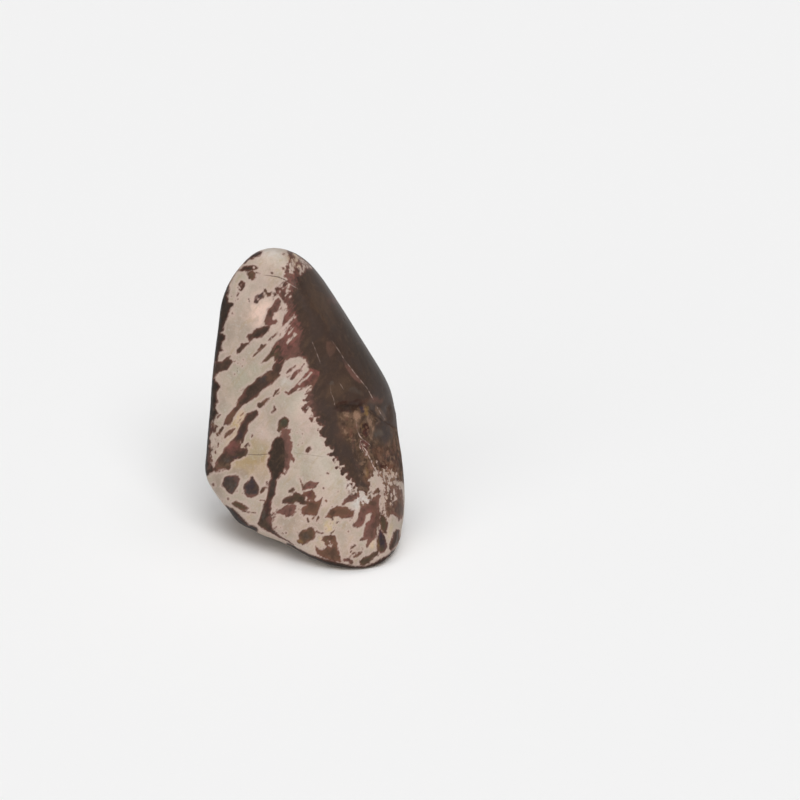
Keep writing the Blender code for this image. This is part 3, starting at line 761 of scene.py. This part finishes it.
class Surface:
    """The points of the fine mesh as arrays, with where the photo shows them."""

    def __init__(self, mesh):
        self.mesh = mesh
        self.read()
        self.pixels = photo_pixels(self.points)
        self.seen = smooth_step(0.02, 0.14, facing_camera(self.points, self.normals))
        wander = [noise_at(self.points, size * MM, size) for size in (2, 3, 1, 1.5)]
        self.wandered = self.pixels + 3.0 * np.stack(wander[:2], 1) + 1.5 * np.stack(wander[2:], 1)

    def read(self):
        count = len(self.mesh.vertices)
        self.points, self.normals = np.empty(count * 3), np.empty(count * 3)
        self.mesh.vertices.foreach_get("co", self.points)
        self.mesh.vertices.foreach_get("normal", self.normals)
        self.points, self.normals = self.points.reshape(-1, 3), self.normals.reshape(-1, 3)

    def press_in(self, depth):
        """Moves every point in by its own depth, except on the foot, and at most down to it."""
        free = self.points[:, 2] > FOOT_SKIN
        self.points = self.points - self.normals * (depth * free)[:, None]
        self.points[:, 2] = np.maximum(self.points[:, 2], 0)
        self.mesh.vertices.foreach_set("co", self.points.astype(np.float32).ravel())
        self.mesh.update()
        self.read()


def photo_pixels(points):
    """Where points of the stone fall in the photo."""
    seen = points - np.array(CAMERA_PLACE)
    away = seen @ -np.array(BACK)
    focal = CAMERA_AWAY / PIXEL
    across = seen @ np.array(RIGHT) / away * focal
    up = seen @ np.array(UP) / away * focal
    return np.stack([PHOTO_SIDE / 2 + across, PHOTO_SIDE / 2 - up], 1)


def noise_at(points, size, seed, octaves=3):
    """Smooth noise between about -1 and 1, with features of that size."""
    shift = Vector((seed * 3.1, seed * 5.3, seed * 7.7))
    return np.array([noise.fractal(Vector(p) / size + shift, 1.0, 2.0, octaves) for p in points])


# Depths of marks: how far points lie inside a shape, positive inside and negative outside


def stroke_depth(spots, stroke):
    """Depth in a brush stroke, whose points end with its half width there."""
    stroke = np.array(stroke, float)
    best = np.full(len(spots), -np.inf)
    for start, end in zip(stroke, stroke[1:]):
        run = end[:-1] - start[:-1]
        share = np.clip((spots - start[:-1]) @ run / (run @ run), 0, 1)
        away = np.linalg.norm(spots - start[:-1] - share[:, None] * run, axis=1)
        best = np.maximum(best, start[-1] + (end[-1] - start[-1]) * share - away)
    return best


def patch_depth(spots, outline):
    """Depth in a closed outline."""
    x, y = spots.T
    corners = np.array(outline, float)
    inside = np.zeros(len(spots), bool)
    nearest = np.full(len(spots), np.inf)
    for (ax, ay), (bx, by) in zip(corners, np.roll(corners, -1, 0)):
        if ay != by:
            inside ^= ((ay > y) != (by > y)) & (x < (bx - ax) * (y - ay) / (by - ay) + ax)
        run = np.array((bx - ax, by - ay))
        share = np.clip(((x - ax) * run[0] + (y - ay) * run[1]) / (run @ run), 0, 1)
        nearest = np.minimum(nearest, np.hypot(x - ax - share * run[0], y - ay - share * run[1]))
    return np.where(inside, nearest, -nearest)


class Drawing:
    """The marks on one set of spots: how deep in a mark each lies, in pixels, and its ink."""

    REACH = 8.0
    BLEED = 1.2

    def __init__(self, spots):
        self.spots = spots
        self.depth = np.full(len(spots), -self.REACH)
        self.ink = np.tile(linear("umber"), (len(spots), 1))

    def near(self, corners):
        corners = np.array(corners, float)[:, : self.spots.shape[1]]
        low, high = corners.min(0) - self.REACH, corners.max(0) + self.REACH
        return np.nonzero(((self.spots > low) & (self.spots < high)).all(1))[0]

    def add(self, paint, shape, depth_in):
        near = self.near(shape)
        depth = depth_in(self.spots[near], shape)
        cover = smooth_step(-self.BLEED, self.BLEED / 3, depth)
        new = depth > self.depth[near]
        cover = np.where(new, np.maximum(cover, smooth_step(-self.REACH, 0, depth) * 0.999), cover)
        self.ink[near] += cover[:, None] * (linear(paint) - self.ink[near])
        self.depth[near] = np.maximum(self.depth[near], depth)

    def bare(self, stroke):
        near = self.near(stroke)
        self.depth[near] = np.minimum(self.depth[near], -stroke_depth(self.spots[near], stroke))


def hue_patch(spots, colours, paint, x, y, across, down, turn, strength):
    """Tints the colours with a soft-edged oval of a paint."""
    c, s = math.cos(math.radians(turn)), math.sin(math.radians(turn))
    dx, dy = spots[:, 0] - x, spots[:, 1] - y
    ring = np.hypot((dx * c + dy * s) / across, (dy * c - dx * s) / down)
    cover = strength * (1 - smooth_step(0.3, 1.35, ring))
    return colours + cover[:, None] * (linear(paint) - colours)


def sprayed(chance, x, y, across, down, turn, count, widest):
    """Short strokes scattered over an oval, most of them near its middle."""
    c, s = math.cos(math.radians(turn)), math.sin(math.radians(turn))
    for _ in range(count):
        u, v = chance.gauss(0, 0.5) * across, chance.gauss(0, 0.5) * down
        left, top = x + u * c - v * s, y + u * s + v * c
        width = widest * chance.uniform(0.5, 1)
        run = widest * chance.uniform(0.2, 2.0)
        yield ((left, top, width), (left - 0.6 * run, top + 0.8 * run, width * 0.8))


def seen_marks(surface):
    """The drawing of the seen side, in photo pixels."""
    drawing = Drawing(surface.pixels)
    for paint, outline in PATCHES.values():
        drawing.add(paint, outline, patch_depth)
    for paint, *stroke in STROKES:
        drawing.add(paint, stroke, stroke_depth)
    for streak in BARE_STREAKS:
        drawing.bare(streak)
    chance = random.Random(SPRAY_SEED)
    for paint, *spray in SPRAYS:
        for speck in sprayed(chance, *spray):
            drawing.add(paint, speck, stroke_depth)
    for spray in BARE_SPRAYS:
        for speck in sprayed(chance, *spray):
            drawing.bare(speck)
    for hue in HUES_IN_THE_MARKS:
        drawing.ink = hue_patch(surface.wandered, drawing.ink, *hue)
    return drawing


# The unseen sides

HIDDEN_SEED = 11
HIDDEN_INKS = ("umber", "umber", "plum", "bark", "soot", "brick", "olive", "slate")
HIDDEN_STROKES = 190


def hidden_stroke(chance, tree, start):
    """A brush stroke that follows the grain over the surface, thin at its ends."""
    length = chance.choice((2.5, 4.0, 6.0, 9.0, 13.0)) * chance.uniform(0.7, 1.2)
    widest = chance.choice((0.35, 0.6, 0.9, 1.4, 2.0)) * chance.uniform(0.7, 1.2)
    widest = min(widest, length * 0.3)
    steps = 5
    place, normal = tree.find_nearest(start)[:2]
    bend = chance.uniform(-0.12, 0.12)
    points = []
    for step in range(steps + 1):
        share = step / steps
        taper = max(0.25, math.sin(math.pi * (0.12 + 0.8 * share)) ** 0.7)
        points.append((*(place / MM), widest * taper))
        way = GRAIN - normal * GRAIN.dot(normal)
        way = (way.normalized() + normal.cross(way).normalized() * bend).normalized()
        place, normal = tree.find_nearest(place + way * (length / steps) * MM)[:2]
        bend += chance.uniform(-0.12, 0.12)
    return points


def unrolled(points):
    """The side of the stone laid out flat: millimetres round it from the front, and its height."""
    turn = np.degrees(np.arctan2(points[:, 0], -points[:, 1])) % 360
    return np.stack([turn * 0.3, points[:, 2] / MM], 1)


# Outlines on the unseen sides, as (paint, corners), with a corner as (degrees round the stone from
# the front, height in millimetres).
HIDDEN_PATCHES = {
    "dark side, carried on": ("umber", [
        (40, 22), (62, 22), (80, 17), (94, 19), (103, 25), (112, 21), (118, 30), (126, 27),
        (131, 36), (139, 31), (144, 41), (150, 38), (156, 47), (166, 44), (175, 52), (190, 51),
        (203, 58), (180, 66), (40, 66),
    ]),
    # Carries the dark band of the left edge round the unseen left wall: partly dark marks, partly painted shade.
    "left wall": ("umber", [
        (320, 48), (300, 52), (286, 50), (281, 42), (274, 44), (268, 35), (262, 37), (258, 27),
        (264, 21), (260, 14), (270, 10), (284, 12), (300, 14), (320, 20),
    ]),
    "band on the back": ("plum", [
        (238, 45), (229, 43), (222, 36), (212, 33), (206, 25), (196, 22), (190, 14), (197, 15),
        (205, 20), (214, 24), (221, 30), (231, 34), (240, 40),
    ]),
    "blot on the back": ("soot", [
        (178, 33), (172, 30), (168, 22), (164, 19), (169, 14), (176, 16), (180, 22), (183, 29),
    ]),
    "heel patch": ("rust brown", [
        (92, 14), (104, 15), (110, 9), (120, 11), (124, 5), (112, 1), (96, 2), (88, 8),
    ]),
}


def hidden_marks(surface, tree):
    """The drawing of the sides that the photo doesn't show, in millimetres."""
    flat = Drawing(unrolled(surface.points))
    flat.spots = flat.spots + 1.3 * np.stack([
        noise_at(surface.points, 5 * MM, 1), noise_at(surface.points, 5 * MM, 2)
    ], 1)
    for paint, outline in HIDDEN_PATCHES.values():
        corners = [(turn * 0.3, height) for turn, height in outline]
        flat.add(paint, corners, patch_depth)
    around = Drawing(surface.points / MM)
    around.depth, around.ink = flat.depth, flat.ink
    chance = random.Random(HIDDEN_SEED)
    middle = (cad_low + cad_high) / 2
    for _ in range(HIDDEN_STROKES):
        way = Vector([chance.gauss(0, 1) for _ in range(3)]).normalized()
        start = middle + Vector((way.x * 0.018, way.y * 0.018, way.z * 0.03))
        stroke = hidden_stroke(chance, tree, start)
        around.add(chance.choice(HIDDEN_INKS), stroke, stroke_depth)
    return around


# Colour fields on the mesh


def lay_field(mesh, name, values):
    """Keeps a number or a colour for each point of the mesh, for the material to read."""
    if values.ndim == 1:
        field = mesh.attributes.new(name, "FLOAT", "POINT")
        field.data.foreach_set("value", values.astype(np.float32))
    else:
        field = mesh.attributes.new(name, "FLOAT_COLOR", "POINT")
        values = np.concatenate([values, np.ones((len(values), 1))], 1)
        field.data.foreach_set("color", values.astype(np.float32).ravel())


def paint_fields(surface, tree):
    seen, hidden = seen_marks(surface), hidden_marks(surface, tree)
    share = surface.seen
    depth = share * seen.depth * PIXEL / MM + (1 - share) * hidden.depth
    ink = share[:, None] * seen.ink + (1 - share)[:, None] * hidden.ink
    ground = np.tile(linear("cream"), (len(share), 1))
    for hue in HUES_ON_THE_GROUND:
        ground = hue_patch(surface.wandered, ground, *hue)
    plain = np.tile(linear("cream"), (len(share), 1))
    ground = share[:, None] * ground + (1 - share)[:, None] * plain
    across, dark, pale = crack_and_glint_fields(surface)
    lay_field(surface.mesh, "depth", np.clip(depth, -3, 3))
    lay_field(surface.mesh, "ink", ink)
    lay_field(surface.mesh, "ground", ground)
    lay_field(surface.mesh, "crack_and_glint_side", across)
    lay_field(surface.mesh, "dark_crack", dark)
    lay_field(surface.mesh, "pale_vein_and_glint", pale)
    lay_field(surface.mesh, "brushy", brushy_share(surface))
    lay_field(surface.mesh, "toothed", toothed_share(surface))
    lay_field(surface.mesh, "rough", cheek_share(surface))
    lay_field(surface.mesh, "mottled", mottled_share(surface))
    lay_field(surface.mesh, "shaded", shaded_share(surface))


def line_depth(surface, lines):
    """How near the middle of a thin line each point is: 1 on it, 0 from a pixel away."""
    near = np.zeros(len(surface.pixels))
    for line in lines:
        near = np.maximum(near, smooth_step(-0.8, 0.2, stroke_depth(surface.pixels, line)))
    return near * surface.seen


def crack_and_glint_fields(surface):
    """How far each point lies from the nearest thin line, in millimetres and with a sign that tells
    the side, and how strong that line is there if it is a dark crack and if it is a pale line, which is partly a
    pale vein and partly a painted highlight."""
    spots = surface.pixels
    nearest, side = np.full(len(spots), 4.0), np.full(len(spots), 4.0)
    strengths = np.zeros((2, len(spots)))
    for kind, lines in enumerate((DARK_CRACKS, PALE_VEINS_AND_GLINTS)):
        for line in lines:
            for start, end in zip(np.array(line), np.array(line)[1:]):
                run = (end - start)[:2]
                share = np.clip((spots - start[:2]) @ run / (run @ run), 0, 1)
                offset = spots - start[:2] - share[:, None] * run
                away = np.linalg.norm(offset, axis=1)
                closer = np.nonzero(away < nearest)[0]
                turn = run[0] * offset[closer, 1] - run[1] * offset[closer, 0]
                nearest[closer] = away[closer]
                side[closer] = np.where(turn < 0, -1, 1) * away[closer]
                strengths[:, closer] = 0
                width = start[2] + (end[2] - start[2]) * share[closer]
                strengths[kind, closer] = np.clip(width / 2, 0, 1)
    strengths *= (1 - smooth_step(2.0, 3.5, nearest)) * surface.seen
    return side * PIXEL / MM, strengths[0], strengths[1]


# (x, y, half size across, half size down, strength) of the places with mottled marks.
MOTTLED = [
    (391, 488, 13, 34, 0.75), (362, 496, 12, 12, 0.7), (366, 474, 7, 12, 0.5), (212, 440, 8, 36, 0.6),
    (335, 548, 16, 10, 0.3), (300, 260, 16, 12, 0.4), (226, 461, 12, 6, 0.4),
]

SHADED_PATCHES = ("painted shade on the underside", "upper edge", "lower edge", "lower left rim")


def shaded_share(surface):
    """1 on the darkest rims, where the seen side turns away and under."""
    share = np.zeros(len(surface.pixels))
    for name in SHADED_PATCHES:
        depth = patch_depth(surface.pixels, PATCHES[name][1])
        share = np.maximum(share, smooth_step(-1.5, 1.5, depth))
    turned = 1 - smooth_step(0.15, 0.6, facing_camera(surface.points, surface.normals))
    return share * surface.seen * (0.35 + 0.65 * turned)


def brushy_share(surface):
    """1 where the edge of the dark side breaks up into bristle strokes, and 0 elsewhere."""
    fringe = patch_depth(surface.pixels, PATCHES["fringe of the dark side"][1])
    dark = patch_depth(surface.pixels, PATCHES["dark side"][1])
    share = smooth_step(-2, 1, fringe) * (1 - smooth_step(-1, 4, dark))
    return share * surface.seen


def mottled_share(surface):
    """How much the marks are broken up by specks of ground, in a few soft ovals."""
    share = np.zeros(len(surface.pixels))
    for x, y, across, down, strength in MOTTLED:
        ring = np.hypot((surface.wandered[:, 0] - x) / across, (surface.wandered[:, 1] - y) / down)
        share = np.maximum(share, strength * (1 - smooth_step(0.6, 1.2, ring)))
    return share * surface.seen


def toothed_share(surface):
    """1 along the lower edge of the dark side, which ends in small round lobes."""
    dark = patch_depth(surface.pixels, PATCHES["dark side"][1])
    low = smooth_step(385, 400, surface.pixels[:, 1])
    return smooth_step(-5, -1, dark) * (1 - smooth_step(2, 6, dark)) * low * surface.seen


# Relief

CHEEK_OUTLINE = PATCHES["chipped cheek"][1]
PITS = [  # (x, y, radius, depth) in photo pixels, depth in mm
    (365.3, 431.6, 4.5, 0.30), (364.5, 444, 3.5, 0.16), (383.1, 466, 3.8, 0.25),
    (361, 408.5, 3, 0.2), (347, 410, 6, 0.25), (355, 409, 5, 0.2), (379, 436, 5, 0.12),
    (388, 408, 4, 0.2), (373, 424, 3, 0.15), (391, 446, 4, 0.15), (350, 424, 3, 0.1),
    (372, 456, 3, 0.12), (377, 414, 3, 0.15),
]
SMOOTH_SWELL = (384, 433, 10, 13)
STRAY_PITS = 150
LEDGE_GROOVE = ((335, 409.5, 1.0), (341, 407, 2.2), (348, 407.5, 3.0), (357, 408, 2.4),
                (365, 406, 1.8), (372, 413, 1.4), (382, 420, 1.0), (394, 428, 0.8))
LEDGE_DEPTH = 0.4

# Where the outline in the photo stands out from the solid or draws in, as (x, y, radius) in photo
# pixels and millimetres outwards.
SWELLS = [
    (224, 296, 44, 0.42), (213, 365, 50, 0.20), (205, 474, 22, 0.30), (238, 523, 18, 0.55),
    (283, 546, 30, -0.50), (401, 541, 16, 0.25),
]


def cheek_share(surface):
    """1 on the chipped cheek and 0 off it and on the smooth swell in its middle."""
    x, y, across, down = SMOOTH_SWELL
    ring = np.hypot((surface.pixels[:, 0] - x) / across, (surface.pixels[:, 1] - y) / down)
    rough = 0.15 + 0.85 * smooth_step(0.7, 1.2, ring)
    return rough * smooth_step(-3, 3, patch_depth(surface.pixels, CHEEK_OUTLINE)) * surface.seen


def carve(surface, tree):
    """The relief that the photo shows: pits, cracks, the rough cheek and a faint waviness."""
    cheek = cheek_share(surface)
    depth = 0.035 * noise_at(surface.points, 6 * MM, 3)
    depth += cheek * (0.16 * noise_at(surface.points, 1.8 * MM, 4) + 0.08)
    depth += cheek * 0.05 * noise_at(surface.points, 0.7 * MM, 5)
    ledge = stroke_depth(surface.pixels, LEDGE_GROOVE)
    depth += LEDGE_DEPTH * smooth_step(-1.5, 2.5, ledge) * surface.seen
    for x, y, radius, deep in PITS:
        ring = np.hypot(surface.pixels[:, 0] - x, surface.pixels[:, 1] - y) / radius
        depth += deep * np.clip(1 - ring**2, 0, 1) ** 2 * surface.seen
    depth += 0.05 * line_depth(surface, DARK_CRACKS[:1])
    edge_on = 1 - smooth_step(0.3, 0.8, np.abs(facing_camera(surface.points, surface.normals)))
    for x, y, radius, out in SWELLS:
        ring = np.hypot(surface.pixels[:, 0] - x, surface.pixels[:, 1] - y) / radius
        depth -= out * np.clip(1 - ring**2, 0, 1) ** 2 * edge_on
    chance = random.Random(HIDDEN_SEED + 1)
    middle = (cad_low + cad_high) / 2
    for _ in range(STRAY_PITS):
        way = Vector([chance.gauss(0, 1) for _ in range(3)]).normalized()
        place = tree.find_nearest(middle + way * 0.03)[0]
        radius = chance.uniform(0.35, 0.9) * MM
        ring = np.linalg.norm(surface.points - np.array(place), axis=1) / radius
        depth += chance.uniform(0.02, 0.07) * np.clip(1 - ring**2, 0, 1) ** 2
    surface.press_in(depth * MM)


# The material


class Wire:
    """A socket of a shader. Sums and products of wires add the Math nodes for them."""

    def __init__(self, tree, socket):
        self.tree, self.socket = tree, socket

    def node(self, kind, settings, inputs, output=0):
        """Adds a node: its settings first, then the values or wires of its sockets."""
        made = self.tree.nodes.new(kind)
        for name, value in settings.items():
            setattr(made, name, value)
        for name, value in inputs.items():
            if isinstance(name, int):
                socket = made.inputs[name]
            else:
                socket = next(s for s in made.inputs if s.enabled and s.name == name)
            if isinstance(value, Wire):
                self.tree.links.new(value.socket, socket)
            else:
                socket.default_value = value
        return Wire(self.tree, made.outputs[output])

    def math(self, operation, *others):
        return self.node("ShaderNodeMath", {"operation": operation},
                         dict(enumerate((self, *others))))

    def __add__(self, other):
        return self.math("ADD", other)

    def __sub__(self, other):
        return self.math("SUBTRACT", other)

    def __rsub__(self, other):
        return (self * -1) + other

    def __mul__(self, other):
        return self.math("MULTIPLY", other)

    __radd__, __rmul__ = __add__, __mul__

    def steps(self, low, high):
        """0 below low, 1 above high, and smooth between."""
        inputs = {"Value": self, "From Min": low, "From Max": high}
        return self.node("ShaderNodeMapRange", {"interpolation_type": "SMOOTHSTEP"}, inputs)

    def dye(self, colour, share, blend="MIX"):
        """This colour with another laid over it, by share."""
        settings = {"data_type": "RGBA", "blend_type": blend}
        inputs = {"Factor": share, "A": self, "B": colour}
        made = self.node("ShaderNodeMix", settings, inputs)
        made.socket = next(s for s in made.socket.node.outputs if s.enabled)
        return made

    def field(self, name, output):
        return self.node("ShaderNodeAttribute", {"attribute_name": name}, {}, output)

    def speckle(self, size, detail=3.0, rough=0.55):
        """Noise from 0 to 1 on this position, with features of that size in millimetres."""
        inputs = {"Vector": self, "Scale": 1 / (size * MM), "Detail": detail, "Roughness": rough}
        return self.node("ShaderNodeTexNoise", {}, inputs)


def colour(paint):
    return (*linear(paint), 1.0)


def stone_material():
    material = bpy.data.materials.new("polished stone")
    material.use_nodes = True
    tree = material.node_tree
    shader = tree.nodes["Principled BSDF"]
    start = Wire(tree, None)
    place = start.node("ShaderNodeTexCoord", {}, {}, "Object")

    grain_turn = GRAIN.to_track_quat("Z", "Y").to_matrix().transposed().to_euler()
    along = place.node("ShaderNodeMapping", {"vector_type": "POINT"}, {"Vector": place,
                       "Rotation": grain_turn[:]})
    along = along.node("ShaderNodeVectorMath", {"operation": "MULTIPLY"},
                       {0: along, 1: (1.0, 1.0, 0.22)})

    cloud = place.speckle(5.0)
    blotch = place.speckle(1.7, 4.0)
    crumb = place.speckle(1.0, 3.0, 0.5)
    fleck = place.speckle(0.55, 4.0, 0.6)
    dust = place.speckle(0.18, 3.0, 0.7)
    bristle = along.speckle(0.42, 3.0, 0.6)
    streak = along.speckle(1.3, 3.0, 0.6)

    depth = start.field("depth", "Fac")
    rough = start.field("rough", "Fac")
    brushy = start.field("brushy", "Fac")
    gaps = brushy * bristle.steps(0.5, 0.64)
    ragged = depth + (bristle - 0.5) * 0.7 + (blotch - 0.5) * 0.4 + (fleck - 0.5) * 0.4
    mottled = start.field("mottled", "Fac")
    lobes = place.node("ShaderNodeTexVoronoi", {}, {"Vector": place, "Scale": 1 / (0.85 * MM)})
    ragged = ragged - gaps * 0.4 + rough * (crumb - 0.5) * 0.8
    ragged = ragged + mottled * ((crumb - 0.52) * 2.4 + (fleck - 0.5) * 1.2)
    ragged = ragged + start.field("toothed", "Fac") * (0.58 - lobes) * 1.1
    inked = ragged.steps(-0.16, 0.18)
    deep = ragged.steps(0.9, 2.0)

    ground = start.field("ground", "Color")
    ground = ground.dye(colour("peach"), cloud.steps(0.48, 0.66) * 0.45)
    ground = ground.dye(colour("green cream"), (1 - cloud).steps(0.5, 0.66) * 0.4)
    ground = ground.dye(colour("sand"), streak.steps(0.52, 0.7) * 0.3)
    ground = ground.dye(colour("dull cream"), blotch.steps(0.5, 0.7) * 0.45)
    ground = ground.dye(colour("chalk"), fleck.steps(0.54, 0.72) * 0.35)
    ground = ground.dye(colour("pink cream"), ragged.steps(-0.6, -0.15) * 0.5)
    ground = ground.dye(colour("shade"), mottled * blotch.steps(0.48, 0.62) * 0.4)
    ground = ground.dye(colour("shade"), dust.steps(0.5, 0.75) * 0.5)
    ground = ground.dye(colour("chalk"), (1 - dust).steps(0.55, 0.75) * 0.4)

    ink = start.field("ink", "Color")
    ink = ink.dye(colour("soot"), ragged.steps(0.25, 0.9) * (0.3 - rough * 0.25))
    ink = ink.dye(colour("russet"), (1 - ragged.steps(0.0, 0.55)) * (0.4 + cloud * 0.6))
    ink = ink.dye(colour("soot"), blotch.steps(0.46, 0.64) * (0.5 - deep * 0.2 - rough * 0.15))
    ink = ink.dye(colour("bark"), streak.steps(0.5, 0.7) * (0.35 - deep * 0.1))
    ink = ink.dye(colour("umber shade"), deep * cloud.steps(0.46, 0.6) * 0.6)
    ink = ink.dye(colour("bark"), fleck.steps(0.5, 0.68) * (0.28 - deep * 0.16))
    ink = ink.dye(colour("rose"), gaps * 0.6)
    ink = ink.dye(colour("rust"), rough * blotch.steps(0.5, 0.62) * 0.5)
    ink = ink.dye(colour("clay"), rough * crumb.steps(0.54, 0.68) * 0.45)
    ink = ink.dye(colour("russet"), rough * (1 - blotch).steps(0.52, 0.66) * 0.4)
    ink = ink.dye(colour("soot"), rough * (1 - crumb).steps(0.57, 0.68) * 0.45)
    ink = ink.dye(colour("clay"), mottled * crumb.steps(0.5, 0.64) * 0.5)
    ink = ink.dye(colour("soot"), mottled * (1 - blotch).steps(0.52, 0.64) * 0.5)
    ink = ink.dye(colour("umber"), 0.1)
    ink = ink.dye(colour("clay"), dust.steps(0.58, 0.76) * 0.2)

    near_crack_and_glint = 1 - start.field("crack_and_glint_side", "Fac").math("ABSOLUTE").steps(0.02, 0.14)
    surface = ground.dye(ink, inked)
    surface = surface.dye(colour("black"), start.field("shaded", "Fac") * 0.93)
    surface = surface.dye(colour("umber"), near_crack_and_glint * start.field("dark_crack", "Fac") * 3.0)
    # Pale lines: partly pale veins and worn edges, partly painted highlights.
    surface = surface.dye(colour("pink cream"), near_crack_and_glint * start.field("pale_vein_and_glint", "Fac")
                          * (crumb.steps(0.42, 0.6) * 1.2 + 0.2))

    relief = blotch * 0.5 + fleck * (0.25 + rough * 1.4) + dust * 0.2
    relief = relief - near_crack_and_glint * start.field("dark_crack", "Fac") * 4.0
    bump = start.node("ShaderNodeBump", {},
                      {"Strength": 0.6, "Distance": 0.06 * MM, "Height": relief}, "Normal")
    gloss = 0.34 + fleck * 0.14 + rough * 0.2
    tree.links.new(surface.socket, shader.inputs["Base Color"])
    tree.links.new(gloss.socket, shader.inputs["Roughness"])
    tree.links.new(bump.socket, shader.inputs["Normal"])
    shader.inputs["Metallic"].default_value = 0.0
    shader.inputs["Specular IOR Level"].default_value = 0.07
    return material


def make_stone():
    mesh = fine_mesh(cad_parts["stone"])
    mesh.update()
    surface = Surface(mesh)
    faces = [tuple(face.vertices) for face in mesh.polygons]
    tree = BVHTree.FromPolygons([Vector(p) for p in surface.points], faces)
    carve(surface, tree)
    paint_fields(surface, tree)
    mesh.shade_smooth()
    mesh.materials.append(stone_material())
    stone = bpy.data.objects.new("tumbled_stone", mesh)
    bpy.context.scene.collection.objects.link(stone)
    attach(stone, "root")
    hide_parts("stone")
    return stone


# The studio


def plain_material(name, tone, roughness):
    material = bpy.data.materials.new(name)
    material.use_nodes = True
    shader = material.node_tree.nodes["Principled BSDF"]
    shader.inputs["Base Color"].default_value = (tone, tone, tone, 1.0)
    shader.inputs["Roughness"].default_value = roughness
    shader.inputs["Specular IOR Level"].default_value = 0.2
    return material


def make_floor():
    sheet = bmesh.new()
    bmesh.ops.create_grid(sheet, x_segments=1, y_segments=1, size=4.0)
    mesh = bpy.data.meshes.new("floor")
    sheet.to_mesh(mesh)
    sheet.free()
    mesh.materials.append(plain_material("pale floor", 0.94, 0.9))
    floor = bpy.data.objects.new("floor", mesh)
    bpy.context.scene.collection.objects.link(floor)


def add_lamp(name, azimuth, rise, spread, strength):
    """A far, soft light. Azimuth 0 is the front, 90 the right, and spread is its width in the sky,
    all in degrees."""
    lamp = bpy.data.lights.new(name, "SUN")
    lamp.angle, lamp.energy = math.radians(spread), strength
    holder = bpy.data.objects.new(name, lamp)
    turn, up = math.radians(azimuth), math.radians(rise)
    way = Vector((math.sin(turn) * math.cos(up), -math.cos(turn) * math.cos(up), math.sin(up)))
    holder.rotation_euler = way.to_track_quat("Z", "Y").to_euler()
    bpy.context.scene.collection.objects.link(holder)


def make_studio():
    make_floor()
    add_lamp("key", 18, 50, 30, 1.35)
    add_lamp("fill", -30, 35, 50, 0.6)
    add_lamp("top", 0, 85, 60, 1.45)
    world = bpy.data.worlds.new("studio")
    world.use_nodes = True
    world.node_tree.nodes["Background"].inputs["Color"].default_value = (1.0, 1.0, 1.0, 1.0)
    world.node_tree.nodes["Background"].inputs["Strength"].default_value = 0.06
    bpy.context.scene.world = world
    bpy.context.scene.view_settings.view_transform = "Standard"


def add_camera():
    lens = bpy.data.cameras.new("camera")
    lens.sensor_width = SENSOR_WIDTH
    lens.lens = SENSOR_WIDTH * CAMERA_AWAY / PIXEL / PHOTO_SIDE
    lens.clip_start, lens.clip_end = 0.01, 20.0
    camera = bpy.data.objects.new("camera", lens)
    camera.matrix_world = Matrix.Translation(CAMERA_PLACE) @ Matrix(
        (RIGHT, UP, BACK)
    ).transposed().to_4x4()
    bpy.context.scene.collection.objects.link(camera)
    bpy.context.scene.camera = camera


make_stone()
make_studio()
add_camera()

bpy.context.view_layer.update()
